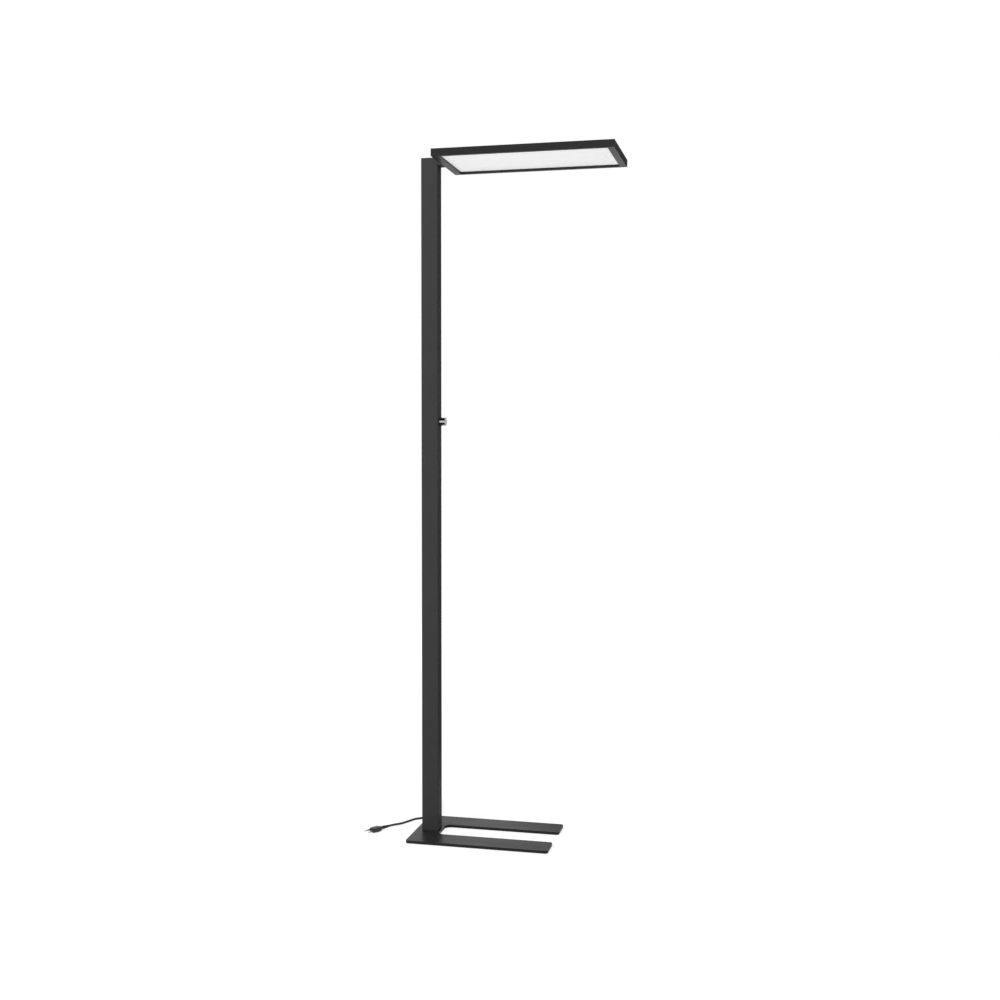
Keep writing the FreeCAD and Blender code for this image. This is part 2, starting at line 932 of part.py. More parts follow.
def head_posts():
    """A shouldered post on each key: the spreader rests on its shoulder, the cover on its end."""
    made = []
    for side_x, side_y in CORNERS:
        x, y = head_spot(side_x, side_y, "post_in", "post_in_side")
        foot = rod("post_foot", "key_height", (x, y, "key_low"))
        shoulder = rod("post_across", "reflector_top - key_top", (x, y, "key_top"))
        neck = rod("post_neck", "cover_low - reflector_top", (x, y, "reflector_top"))
        hole = rod(
            "small_screw_across + thread_clearance",
            "cover_screw_length",
            (x, y, "overall_height - cover_screw_length - 1"),
        )
        made.append(less(joined(foot, shoulder, neck), hole))
    return node(group(made), "head_posts")


def lower_diffuser():
    in_end = "end_bezel - diffuser_overlap"
    in_side = "side_bezel - diffuser_overlap"
    return node(head_plate(in_end, in_side, "lip_top", "diffuser_thickness"), "lower_diffuser")


def light_guide():
    made = head_plate("guide_in_end", "guide_in_side", "diffuser_top", "guide_thickness")
    return node(made, "light_guide_plate")


def reflector():
    made = head_plate("guide_in_end", "guide_in_side", "guide_top", "reflector_thickness")
    return node(made, "reflector_sheet")


def heat_spreader():
    in_side = "rail_wall + 2 * fit_clearance"
    plate = head_plate("spreader_end_gap", in_side, "reflector_top", "spreader_thickness")
    cuts = []
    for side_x, side_y in CORNERS:
        x, y = head_spot(side_x, side_y, "post_in", "post_in_side")
        cuts.append(rod("post_neck + screw_clearance", "spreader_thickness", (x, y, "reflector_top")))
    for x, y in board_screw_spots():
        across = "small_screw_across + thread_clearance"
        cuts.append(rod(across, "spreader_thickness", (x, y, "reflector_top")))
    return node(less(plate, *cuts), "heat_spreader")


STRIP_CHIPS = 20
BOARD_CHIPS = 16


def edge_strips():
    """A strip of light sources along each long side, facing the edge of the light guide."""
    long = "head_length - 2 * strip_end_gap"
    low = "guide_top - strip_height"
    made = []
    for sign in (-1, 1):
        inner = "half_width - rail_wall"
        y = f"{inner} - strip_thickness" if sign == 1 else f"-({inner})"
        parts = [block(("head_near_x + strip_end_gap", y, low), (long, "strip_thickness", "strip_height"))]
        chip_y = f"{inner} - strip_thickness - chip_height" if sign == 1 else f"-({inner}) + strip_thickness"
        for number in range(STRIP_CHIPS):
            step = f"({long}) * {(number + 0.5) / STRIP_CHIPS} - chip_width / 2"
            at = (f"head_near_x + strip_end_gap + {step}", chip_y, f"{low} + 0.5")
            parts.append(block(at, ("chip_width", "chip_height", "strip_height - 1")))
        made.append(joined(*parts))
    return node(group(made), "edge_led_strips")


def uplight_boards():
    """Two boards on top of the spreader that light the ceiling through the window."""
    made = []
    for sign in (-1, 1):
        y = f"{sign} * board_spread / 2"
        at = ("head_middle - board_length / 2", f"{y} - board_width / 2", "spreader_top")
        parts = [block(at, ("board_length", "board_width", "board_thickness"))]
        for number in range(BOARD_CHIPS):
            step = f"board_length * {(number + 0.5) / BOARD_CHIPS - 0.5} - chip_width / 2"
            place = (f"head_middle + {step}", f"{y} - chip_width / 2", "spreader_top + board_thickness")
            parts.append(block(place, ("chip_width", "chip_width", "chip_height")))
        holes = [
            rod("small_screw_across + screw_clearance", "board_thickness", (spot_x, spot_y, "spreader_top"))
            for spot_x, spot_y in board_screw_spots()
            if spot_y.startswith(str(sign) + " ")
        ]
        made.append(less(joined(*parts), *holes))
    return node(group(made), "uplight_boards")


def board_screw_spots():
    """A screw near each end of each board, between the light sources."""
    pitch = f"board_length / {BOARD_CHIPS}"
    return [
        (f"head_middle + {end} * (board_length / 2 - {pitch})", f"{sign} * board_spread / 2")
        for sign in (-1, 1)
        for end in (-1, 1)
    ]


def board_screws():
    made = []
    for x, y in board_screw_spots():
        at = (x, y, "spreader_top + board_thickness")
        long = "board_thickness + spreader_thickness"
        made.append(cap_screw("small_screw_across", "small_screw_head", "1.2", long, at, "-Z"))
    return node(group(made), "board_screws")


def top_cover():
    edge = "rail_wall + fit_clearance"
    plate = head_plate(edge, edge, "cover_low", "cover_thickness")
    at = ("head_middle - window_length / 2", "-window_width / 2", "cover_low - 1")
    window = block(at, ("window_length", "window_width", "cover_thickness + 2"))
    rounded = doc.addObject("Part::Fillet", "rounded")
    rounded.Base = window
    doc.recompute()
    radius = value("window_corner")
    rounded.Edges = [
        (number, radius, radius)
        for number, side in enumerate(window.Shape.Edges, start=1)
        if runs_along(side, Z)
    ]
    cuts = [rounded]
    for side_x, side_y in CORNERS:
        x, y = head_spot(side_x, side_y, "post_in", "post_in_side")
        wide = "small_screw_head + 2 * thread_clearance"
        thin = "small_screw_across + 2 * thread_clearance"
        cuts.append(cone(wide, thin, f"({wide} - ({thin})) / 2", (x, y, "overall_height"), "-Z"))
        cuts.append(rod(thin, "cover_thickness + 1", (x, y, "overall_height"), "-Z"))
    return node(less(plate, *cuts), "top_cover")


def cover_screws():
    made = []
    for side_x, side_y in CORNERS:
        x, y = head_spot(side_x, side_y, "post_in", "post_in_side")
        drop = "thread_clearance"
        top = (x, y, f"overall_height - {drop}")
        deep = "(small_screw_head - small_screw_across) / 2"
        head = cone("small_screw_head", "small_screw_across", deep, top, "-Z")
        shank = rod("small_screw_across", "cover_screw_length", top, "-Z")
        socket = hexagon("2", "0.9", top, "-Z")
        made.append(less(joined(head, shank), socket))
    return node(group(made), "cover_screws")


def upper_diffuser():
    long = "window_length + 2 * window_overlap"
    wide = "window_width + 2 * window_overlap"
    at = (f"head_middle - ({long}) / 2", f"-({wide}) / 2", "cover_low - window_thickness")
    return node(block(at, (long, wide, "window_thickness")), "upper_diffuser")


def head_terminal():
    at = ("head_terminal_low_x", "head_terminal_front", "key_low")
    size = ("head_terminal_width", "head_terminal_length", "head_terminal_height")
    return node(block(at, size), "head_terminal")


# ---- joint between pole and head ---------------------------------------------------


def bracket_screw_places(x):
    return [(x, f"{sign} * bracket_screw_spread / 2", "bracket_screw_height") for sign in (-1, 1)]


def head_screw_places(x):
    return [(x, f"{sign} * bracket_screw_spread / 2", "head_screw_height") for sign in (-1, 1)]


def head_bracket():
    """The block between the pole and the head, with the lead's passage through it."""
    body = new_body()
    sketch = new_sketch(body, "YZ", "pole_side")
    outline(sketch, rectangle(("-pole_back", "head_low"), ("pole_back", "overall_height")))
    pad(body, sketch, "head_gap")
    through = new_sketch(body, "YZ", "pole_side")
    circle(through, ("0", "passage_height"), "passage_across")
    for _, y, z in bracket_screw_places("0"):
        circle(through, (y, z), "bracket_screw_across + screw_clearance")
    pocket(body, through, "head_gap")
    seats = new_sketch(body, "YZ", "pole_side + head_gap - bracket_screw_head_height - screw_clearance")
    for _, y, z in bracket_screw_places("0"):
        circle(seats, (y, z), "bracket_screw_head + screw_clearance")
    pocket(body, seats, "bracket_screw_head_height + 2 * screw_clearance")
    threads = new_sketch(body, "YZ", "pole_side + head_gap - head_screw_length")
    for _, y, z in head_screw_places("0"):
        circle(threads, (y, z), "small_screw_across + thread_clearance")
    pocket(body, threads, "head_screw_length + 1")
    return node(body, "head_bracket")


def bracket_screws():
    seat = "head_near_x - bracket_screw_head_height - screw_clearance"
    made = [
        cap_screw(
            "bracket_screw_across",
            "bracket_screw_head",
            "bracket_screw_head_height",
            "bracket_screw_length",
            at,
            "-X",
        )
        for at in bracket_screw_places(seat)
    ]
    return node(group(made), "bracket_screws")


def head_screws():
    seat = "head_near_x + rail_wall"
    made = [
        cap_screw("small_screw_across", "head_screw_head", "small_screw_head_height", "head_screw_length", at, "-X")
        for at in head_screw_places(seat)
    ]
    return node(group(made), "head_screws")


def backing_plate():
    """The tapped plate inside the pole that the bracket screws pull against."""
    low = "bracket_screw_height - backing_height / 2 + 1"
    plate = block(
        ("bore_side - backing_thickness", "-backing_width / 2", low),
        ("backing_thickness", "backing_width", "backing_height"),
    )
    start = "bore_side - backing_thickness - 1"
    cuts = [rod("passage_across", "backing_thickness + 2", (start, "0", "passage_height"), "+X")]
    for _, y, z in bracket_screw_places("0"):
        across = "bracket_screw_across + thread_clearance"
        cuts.append(rod(across, "backing_thickness + 2", (start, y, z), "+X"))
    return node(less(plate, *cuts), "bracket_backing_plate")


# ---- electrics in the pole ---------------------------------------------------------


def electrics_tray():
    plate = block(
        ("-tray_width / 2", "tray_front", "tray_low"),
        ("tray_width", "tray_thickness", "tray_length"),
    )
    cuts = []
    for height in ("tray_screw_low", "tray_screw_high", *driver_screw_heights()):
        across = "small_screw_across + thread_clearance"
        cuts.append(rod(across, "tray_thickness", ("0", "tray_front", height), "+Y"))
    return node(less(plate, *cuts), "electrics_tray")


def driver_screw_heights():
    return ("driver_low - driver_tab / 2", "driver_low + driver_length + driver_tab / 2")


def tray_screws():
    made = [
        cap_screw(
            "small_screw_across",
            "small_screw_head",
            "small_screw_head_height",
            "tray_screw_length",
            ("0", "pole_back", height),
            "-Y",
        )
        for height in ("tray_screw_low", "tray_screw_high")
    ]
    return node(group(made), "tray_screws")


def led_driver():
    case = block(
        ("-driver_width / 2", "tray_front - driver_depth", "driver_low"),
        ("driver_width", "driver_depth", "driver_length"),
    )
    tabs = block(
        ("-driver_width / 4", "tray_front - driver_tab_thickness", "driver_low - driver_tab"),
        ("driver_width / 2", "driver_tab_thickness", "driver_length + 2 * driver_tab"),
    )
    start = "tray_front - driver_tab_thickness"
    cuts = [
        rod("small_screw_across + screw_clearance", "driver_tab_thickness", ("0", start, height), "+Y")
        for height in driver_screw_heights()
    ]
    return node(less(joined(case, tabs), *cuts), "led_driver")


def driver_screws():
    seat = "tray_front - driver_tab_thickness"
    made = [
        cap_screw(
            "small_screw_across",
            "small_screw_head",
            "small_screw_head_height",
            "driver_tab_thickness + tray_thickness",
            ("0", seat, height),
            "+Y",
        )
        for height in driver_screw_heights()
    ]
    return node(group(made), "driver_screws")


def mains_terminal():
    body = block(
        ("-terminal_width / 2", "tray_front - terminal_depth", "terminal_low"),
        ("terminal_width", "terminal_depth", "terminal_height"),
    )
    holes = [
        rod(
            "terminal_screw_across + thread_clearance",
            "terminal_depth / 2",
            (x, "tray_front - terminal_depth", z),
            "+Y",
        )
        for x, z in terminal_screw_spots()
    ]
    return node(less(body, *holes), "mains_terminal")


def terminal_screw_spots():
    return [
        (f"{x} * terminal_width / 4", f"terminal_low + {z} * terminal_height")
        for x in (-1, 1)
        for z in (0.25, 0.75)
    ]


def terminal_screws():
    made = []
    for x, z in terminal_screw_spots():
        start = "tray_front - terminal_depth + 1"
        made.append(rod("terminal_screw_across", "terminal_depth / 2 - 1", (x, start, z), "+Y"))
    return node(group(made), "terminal_screws")


def inner_leads():
    """The leads that the pole and the head hold: each is straight but for its bends."""
    across = value("lead_across")
    bend = value("inner_lead_bend")
    height = value("gland_height")
    start = V(0, value("gland_back_y"), height)
    turned_up = start + V(0, -bend, bend)
    end = V(0, turned_up.y, value("terminal_low"))
    route = [arc_edge(start, V(0, -1, 0), turned_up), Part.LineSegment(turned_up, end).toShape()]
    tube(route, across, "inner_mains_lead")

    low = point("0", "terminal_middle_y", "terminal_low + terminal_height")
    high = point("0", "terminal_middle_y", "driver_low")
    tube([Part.LineSegment(low, high).toShape()], value("supply_lead_across"), "supply_lead")

    x = "(connector_back_x + board_back_x) / 2"
    low = point(x, "0", "driver_low + driver_length")
    high = point(x, "0", "connector_low")
    tube([Part.LineSegment(low, high).toShape()], value("dimmer_lead_across"), "dimmer_lead")

    bend = value("head_lead_bend")
    turn = value("head_lead_end_bend")
    top = value("passage_height")
    end_x = value("head_terminal_middle_x")
    x = -value("pole_side") / 2
    spots = [
        V(x, 0, value("driver_low + driver_length")),
        V(x, 0, top - bend),
        V(x + bend, 0, top),
        V(end_x - turn, 0, top),
        V(end_x, turn, top),
        V(end_x, value("head_terminal_front"), top),
    ]
    route = [
        Part.LineSegment(spots[0], spots[1]).toShape(),
        arc_edge(spots[1], Z, spots[2]),
        Part.LineSegment(spots[2], spots[3]).toShape(),
        arc_edge(spots[3], X, spots[4]),
        Part.LineSegment(spots[4], spots[5]).toShape(),
    ]
    tube(route, value("head_lead_across"), "head_lead")


def led_wires():
    """A wire from each end of the head's terminal to the nearer edge strip."""
    across = value("led_wire_across")
    bend = value("led_wire_bend")
    height = value("guide_top - strip_height / 2")
    x = value("head_near_x + led_wire_in_end")
    strip_x = value("head_near_x + strip_end_gap")
    reach = value("half_width - rail_wall - strip_thickness / 2 - soft_clearance")
    starts = {-1: value("head_terminal_front"), 1: value("head_terminal_front + head_terminal_length")}
    shapes = []
    for sign, start in starts.items():
        out = V(0, sign, 0)
        begin = V(x, start, height)
        turn_start = V(x, sign * (reach - bend), height)
        turn_end = V(x + bend, sign * reach, height)
        route = [
            Part.LineSegment(begin, turn_start).toShape(),
            arc_edge(turn_start, out, turn_end),
            Part.LineSegment(turn_end, V(strip_x, sign * reach, height)).toShape(),
        ]
        ring = Part.Wire(Part.makeCircle(across / 2, begin, out))
        shapes.append(Part.Wire(route).makePipeShell([ring], True, False))
    made = doc.addObject("Part::Feature", "wires")
    made.Shape = Part.makeCompound(shapes)
    return node(made, "led_wires")


# ---- rotary push dimmer ------------------------------------------------------------


def dimmer_part(points):
    return turned("XZ", "0", ("0", "knob_height"), points)


def dimmer_bushing():
    bore = "spindle_across / 2 + running_clearance"
    body = dimmer_part(
        [
            ("flange_back_x", bore),
            ("pole_side + bushing_reach", bore),
            ("pole_side + bushing_reach", "bushing_across / 2"),
            ("bore_side", "bushing_across / 2"),
            ("bore_side", "bushing_flange / 2"),
            ("flange_back_x", "bushing_flange / 2"),
        ]
    )
    return node(body, "dimmer_bushing")


def dimmer_washer():
    inner = "bushing_across / 2 + thread_clearance"
    body = dimmer_part(
        [
            ("pole_side", inner),
            ("pole_side + washer_thickness", inner),
            ("pole_side + washer_thickness", "washer_across / 2"),
            ("pole_side", "washer_across / 2"),
        ]
    )
    return node(body, "dimmer_washer")


def dimmer_nut():
    at = ("pole_side + washer_thickness", "0", "knob_height")
    body = hexagon("nut_flats", "nut_thickness", at, "+X")
    hole = rod("bushing_across + thread_clearance", "nut_thickness", at, "+X")
    return node(less(body, hole), "dimmer_nut")


def dimmer_switch():
    """The housing behind the bushing, open to the front."""
    half = "switch_side / 2"
    body = block(
        ("switch_back_x", f"-{half}", f"knob_height - {half}"),
        ("switch_length", "switch_side", "switch_side"),
    )
    bore = rod("switch_bore", "switch_length - switch_back", ("spring_seat_x", "0", "knob_height"), "+X")
    return node(less(body, bore), "dimmer_housing")


def dimmer_board():
    """The circuit board behind the housing with the plug-in connector of the dimmer lead."""
    board = block(
        ("board_back_x", "-dimmer_board_width / 2", "knob_height - dimmer_board_height / 2"),
        ("dimmer_board_thickness", "dimmer_board_width", "dimmer_board_height"),
    )
    plug = block(
        ("connector_back_x", "-dimmer_board_width / 4", "connector_low"),
        ("connector_depth", "dimmer_board_width / 2", "connector_height"),
    )
    return node(joined(board, plug), "dimmer_board")


def dimmer_spindle():
    body = dimmer_part(
        [
            ("collar_back_x", "0"),
            ("spindle_end_x", "0"),
            ("spindle_end_x", "spindle_across / 2"),
            ("collar_front_x", "spindle_across / 2"),
            ("collar_front_x", "spindle_collar / 2"),
            ("collar_back_x", "spindle_collar / 2"),
        ]
    )
    return node(body, "dimmer_spindle")


def dimmer_knob():
    """A plain turned knob, hollow behind to clear the nut, with a shallow dish in its face."""
    bore = "spindle_across / 2 + running_clearance"
    body = dimmer_part(
        [
            ("knob_back_x", "knob_recess_across / 2"),
            ("knob_back_x + knob_recess_depth", "knob_recess_across / 2"),
            ("knob_back_x + knob_recess_depth", bore),
            ("spindle_end_x + running_clearance", bore),
            ("spindle_end_x + running_clearance", "0"),
            ("knob_front_x - knob_face_dish", "0"),
            ("knob_front_x - knob_face_dish", "knob_across / 2 - 2.4"),
            ("knob_front_x", "knob_across / 2 - 2"),
            ("knob_front_x", "knob_across / 2"),
            ("knob_back_x", "knob_across / 2"),
        ]
    )
    outside = value("knob_across") / 2

    def rim(edge):
        curve = edge.Curve
        return curve.TypeId == "Part::GeomCircle" and abs(curve.Radius - outside) < 1e-6

    dress(body, "Fillet", "knob_round", rim)
    hole = new_sketch(body, "XY", "knob_height - knob_across / 2 - 1")
    circle(hole, ("grub_x", "0"), "small_screw_across + thread_clearance")
    pocket(body, hole, "knob_across / 2")
    return node(body, "dimmer_knob")


def knob_grub_screw():
    """The set screw that holds the knob on its spindle, flush with the knob's underside."""
    tip = "knob_height - spindle_across / 2 - running_clearance"
    long = "knob_across / 2 - spindle_across / 2 - 2.5"
    shank = rod("small_screw_across", long, ("grub_x", "0", tip), "-Z")
    socket = hexagon("1.5", "2", ("grub_x", "0", f"{tip} - ({long})"))
    return node(less(shank, socket), "knob_grub_screw")


def push_plunger():
    body = dimmer_part(
        [
            ("plunger_back_x - 2", "0"),
            ("plunger_front_x", "0"),
            ("plunger_front_x", "plunger_across / 2"),
            ("plunger_back_x", "plunger_across / 2"),
            ("plunger_back_x", "plunger_across / 4"),
            ("plunger_back_x - 2", "plunger_across / 4"),
        ]
    )
    return node(body, "push_plunger")


def return_spring():
    """A compression spring round the plunger's tail, from the housing's back to the plunger."""
    wire = value("spring_wire")
    radius = value("spring_across - spring_wire") / 2
    centre = V(value("spring_seat_x") + wire / 2 + 0.05, 0, value("knob_height"))
    long = value("plunger_back_x - spring_seat_x") - wire - 0.1
    quarters = 4 * round(value("spring_turns"))
    rise = long / quarters
    spots = []
    for number in range(quarters + 1):
        turn = math.pi / 2 * number
        out = V(0, math.cos(turn), math.sin(turn))
        way = V(rise, 0, 0) + V(0, -math.sin(turn), math.cos(turn)) * (radius * math.pi / 2)
        spots.append((centre + V(rise * number, 0, 0) + out * radius, way.normalize()))
    edges = []
    for (one, way_one), (two, way_two) in zip(spots, spots[1:]):
        edges += biarc(one, way_one, two, way_two)
    return tube(edges, wire, "return_spring")


# ---- mains lead --------------------------------------------------------------------


def gland_part(points):
    return turned("YZ", "0", ("0", "gland_height"), points)


def cord_gland():
    body = gland_part(
        [
            ("gland_back_y", "0"),
            ("pole_back + gland_flange_thickness", "0"),
            ("pole_back + gland_flange_thickness", "gland_flange / 2 - 1.5"),
            ("pole_back + gland_flange_thickness - 1.5", "gland_flange / 2"),
            ("pole_back", "gland_flange / 2"),
            ("pole_back", "gland_thread / 2"),
            ("gland_back_y", "gland_thread / 2"),
        ]
    )
    return node(body, "cord_gland")


def gland_nut():
    at = ("0", "bore_back - gland_nut_thickness", "gland_height")
    body = hexagon("gland_flange - 2", "gland_nut_thickness", at, "+Y")
    hole = rod("gland_thread + thread_clearance", "gland_nut_thickness", at, "+Y")
    return node(less(body, hole), "gland_nut")


def cord_relief():
    at = ("0", "pole_back + gland_flange_thickness", "gland_height")
    return node(cone("relief_root", "relief_tip", "relief_length", at, "+Y"), "cord_relief")


def hank_frame():
    """The hank's own directions: across and along it."""
    turn = math.radians(value("hank_heading"))
    across = V(math.cos(turn), math.sin(turn), 0)
    along = V(-math.sin(turn), math.cos(turn), 0)
    return point("hank_place_x", "hank_place_y", "0"), across, along


LAYERS = 4


def hank_route():
    """Four piled layers of folds, from the top layer's outer run to the floor.

    The left runs lie in one column. The right runs take the outer and the inner column in turn,
    each inner or outer one stepping down a layer along its length. The waist draws all runs in
    by the same amount and lifts them over the tie.
    """
    origin, across, along = hank_frame()
    run = value("hank_run")
    inner = value("hank_inner")
    left = -(inner + value("hank_step") / 2)
    outer = inner + value("hank_step")
    waist = value("hank_waist")
    lift = value("tie_thickness + soft_clearance")
    pitch = value("lead_across + hank_layer_gap")
    low = value("lead_low")

    def spot(x, s, level, raised=0.0):
        return origin + across * x + along * s + V(0, 0, low + (level - 1) * pitch + raised)

    def half_runs(x, start_level, end_level, away):
        """One run as two S-bends through the waist."""
        way = along if away else along * -1
        drawn = x - waist if x > 0 else x + waist
        ends = (0, run) if away else (run, 0)
        middle = spot(drawn, run / 2, (start_level + end_level) / 2, lift)
        start = spot(x, ends[0], start_level)
        end = spot(x, ends[1], end_level)
        return biarc(start, way, middle, way) + biarc(middle, way, end, way)

    def fold(x_from, x_to, level, far):
        way = along if far else along * -1
        s = run if far else 0
        return biarc(spot(x_from, s, level), way, spot(x_to, s, level), way * -1)

    straight = value("lead_across")
    edges = [Part.LineSegment(spot(outer, -straight, LAYERS), spot(outer, 0, LAYERS)).toShape()]
    column = outer
    upper = LAYERS
    for level in range(LAYERS, 0, -1):
        edges += half_runs(column, upper, level, True)
        edges += fold(column, left, level, True)
        upper = level
        if level > 1:
            edges += half_runs(left, level, level, False)
            column = inner if column == outer else outer
            edges += fold(left, column, level, False)
    drawn = left + waist
    middle = spot(drawn, run / 2, 1, lift)
    edges += biarc(spot(left, run, 1), along * -1, middle, along * -1)
    edges += biarc(middle, along * -1, spot(drawn, 0, 1), along * -1)
    edges.append(Part.LineSegment(spot(drawn, 0, 1), spot(drawn, -straight, 1)).toShape())
    return edges, spot(outer, -straight, LAYERS), spot(drawn, -straight, 1)


def print_gap(edges, across):
    """The least gap between stretches of the tube that don't follow each other."""
    spots = []
    far = 0.0
    for edge in edges:
        points = edge.discretize(24)
        if spots and (points[0] - spots[-1][0]).Length > (points[-1] - spots[-1][0]).Length:
            points.reverse()
        for place in points:
            if spots:
                far += (place - spots[-1][0]).Length
            spots.append((place, far))
    least = min(
        (one - two).Length
        for number, (one, here) in enumerate(spots)
        for two, there in spots[number + 1 :]
        if there - here > 4 * across
    )
    print(f"hank: least gap to itself {least - across:.2f}")


def lead_routes():
    """The free lead: hand-chosen points where it isn't folded."""
    across = value("lead_across")
    edges, hank_start, hank_end = hank_route()
    print_gap(edges, across)
    _, _, along = hank_frame()
    out = point("0", "relief_end_y", "gland_height")
    to_hank = [
        out,
        out + V(0, 21, 0),
        out + V(-4.4, 43, -3.4),
        hank_start - along * 43 + V(0.6, 0, 4.2),
        hank_start - along * 21,
        hank_start,
    ]
    tube(rounded_route(to_hank, "lead_to_hank"), across, "lead_to_hank")
    tube(edges, across, "lead_hank")
    level = value("lead_low")
    place = point("plug_place_x", "plug_place_y", "plug_thickness / 2")
    to_plug = [
        hank_end,
        hank_end - along * 15,
        V(-54.4, 121.0, level),
        V(-62.6, 108.4, level),
        V(-75.4, 100.4, level),
        V(-84.0, 89.0, level),
        V(-94.4, 66.0, level),
        V(-108.5, 39.5, level),
        place - plug_way() * 20,
        place,
    ]
    tube(rounded_route(to_plug, "lead_to_plug"), across, "lead_to_plug")


def plug_way():
    turn = math.radians(value("plug_heading"))
    return V(math.cos(turn), math.sin(turn), 0)


def place_plug(thing, along="0", side="0"):
    """Turn a piece of the plug to its heading on the floor and set it on the plug's axis."""
    heading = "plug_heading"
    bind(thing, "Placement.Rotation.Angle", heading)
    x = f"plug_place_x + ({along}) * cos({heading} * 1deg) - ({side}) * sin({heading} * 1deg)"
    y = f"plug_place_y + ({along}) * sin({heading} * 1deg) + ({side}) * cos({heading} * 1deg)"
    bind(thing, "Placement.Base.x", x)
    bind(thing, "Placement.Base.y", y)


def plug_relief():
    """The ribbed sleeve's plain core, from the lead to the plug."""
    body = turned(
        "XZ",
        "0",
        ("0", "plug_thickness / 2"),
        [
            ("0", "0"),
            ("plug_relief_length", "0"),
            ("plug_relief_length", "plug_relief_root / 2"),
            ("0", "relief_tip / 2"),
        ],
    )
    place_plug(body)
    return node(body, "plug_relief")


def plug_body():
    """A flat moulded plug, narrow where the lead enters and widest at a third of its length."""
    body = new_body()
    sketch = new_sketch(body, "XY", "0")
    half = "plug_width / 2"
    outline(
        sketch,
        [
            ("0", "-plug_tail_width / 2"),
            ("plug_length / 3", f"-{half}"),
            ("plug_length * 2 / 3", f"-{half}"),
            ("plug_length", "-plug_nose_width / 2"),
            ("plug_length", "plug_nose_width / 2"),
            ("plug_length * 2 / 3", half),
            ("plug_length / 3", half),
            ("0", "plug_tail_width / 2"),
        ],
    )
    pad(body, sketch, "plug_thickness")
    dress(body, "Fillet", "plug_round * 2", lambda edge: runs_along(edge, Z))
    level = (0, value("plug_thickness"))

    def rim(edge):
        return any(all(abs(spot.Point.z - end) < 1e-6 for spot in edge.Vertexes) for end in level)

    dress(body, "Fillet", "plug_round", rim)
    place_plug(body, "plug_relief_length")
    return node(body, "plug_body")


def plug_pins():
    """Two round pins with insulated roots."""
    made = []
    for sign in (-1, 1):
        body = turned(
            "XZ",
            "0",
            ("0", "plug_thickness / 2"),
            [
                ("0", "0"),
                ("pin_length", "0"),
                ("pin_length", "pin_across / 2 - 1"),
                ("pin_length - 1", "pin_across / 2"),
                ("0", "pin_across / 2"),
            ],
        )
        place_plug(body, "plug_relief_length + plug_length", f"{sign} * pin_spacing / 2")
        made.append(body)
    return node(group(made), "plug_pins")


def lead_tie():
    """A flat band round the hank's waist."""
    origin, across, along = hank_frame()
    body = new_body()
    half_lead = "lead_across / 2 + soft_clearance"
    left = f"-(hank_inner + hank_step / 2 - hank_waist) - ({half_lead})"
    right = f"hank_inner + hank_step - hank_waist + {half_lead}"
    low = "tie_thickness"
    high = f"tie_thickness + soft_clearance + {LAYERS} * lead_across + {LAYERS - 1} * hank_layer_gap + soft_clearance"
    sketch = new_sketch(body, "XZ", "hank_run / 2 - tie_width / 2")
    band = "tie_thickness"
    outline(sketch, rectangle((f"{left} - {band}", f"{low} - {band}"), (f"{right} + {band}", f"{high} + {band}")))
    outline(sketch, rectangle((left, low), (right, high)))
    pad(body, sketch, "tie_width")
    outer_x = (value(left) - value(band), value(right) + value(band))

    def outer_corner(edge):
        place = edge.Vertexes[0].Point
        return runs_along(edge, Y) and min(abs(place.x - x) for x in outer_x) < 1e-6

    dress(body, "Fillet", "lead_across / 2", outer_corner)
    bind(body, "Placement.Base.x", "hank_place_x")
    bind(body, "Placement.Base.y", "hank_place_y")
    body.Placement.Rotation = FreeCAD.Rotation(Z, 0)
    bind(body, "Placement.Rotation.Angle", "hank_heading")
    return node(body, "lead_tie")


# ---- build -------------------------------------------------------------------------

base_plate()
base_glides()
base_screws()
foot_block()
foot_side_screws()
pole_tube()
pole_cap()
side_rail(-1, "frame_near_rail")
side_rail(1, "frame_far_rail")
end_rail(-1, "frame_pole_end")
end_rail(1, "frame_outer_end")
corner_keys()
key_grub_screws()
head_posts()
lower_diffuser()
light_guide()
reflector()
heat_spreader()
edge_strips()
uplight_boards()
board_screws()
top_cover()
cover_screws()
upper_diffuser()
head_terminal()
head_bracket()
bracket_screws()
head_screws()
backing_plate()
electrics_tray()
tray_screws()
led_driver()
driver_screws()
mains_terminal()
terminal_screws()
inner_leads()
led_wires()
dimmer_bushing()
dimmer_washer()
dimmer_nut()
dimmer_switch()
dimmer_board()
dimmer_spindle()
dimmer_knob()
knob_grub_screw()
push_plunger()
return_spring()
cord_gland()
gland_nut()
cord_relief()
lead_routes()
lead_tie()
plug_relief()
plug_body()
plug_pins()
doc.recompute()

for thing in doc.Objects:
    if "Invalid" in thing.State or "Error" in thing.State:
        raise RuntimeError(f"{thing.Name} {thing.Label} failed: {thing.State}")
for thing in nodes:
    if thing.Shape.isNull() or not thing.Shape.isValid():
        raise RuntimeError(f"{thing.Label} has no valid shape")

os.makedirs("parts", exist_ok=True)
for thing in nodes:
    thing.Shape.exportStep(f"parts/{thing.Label}.step")
print(len(nodes), "nodes")
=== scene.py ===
import math

import bmesh
import bpy
from mathutils import Matrix, Vector


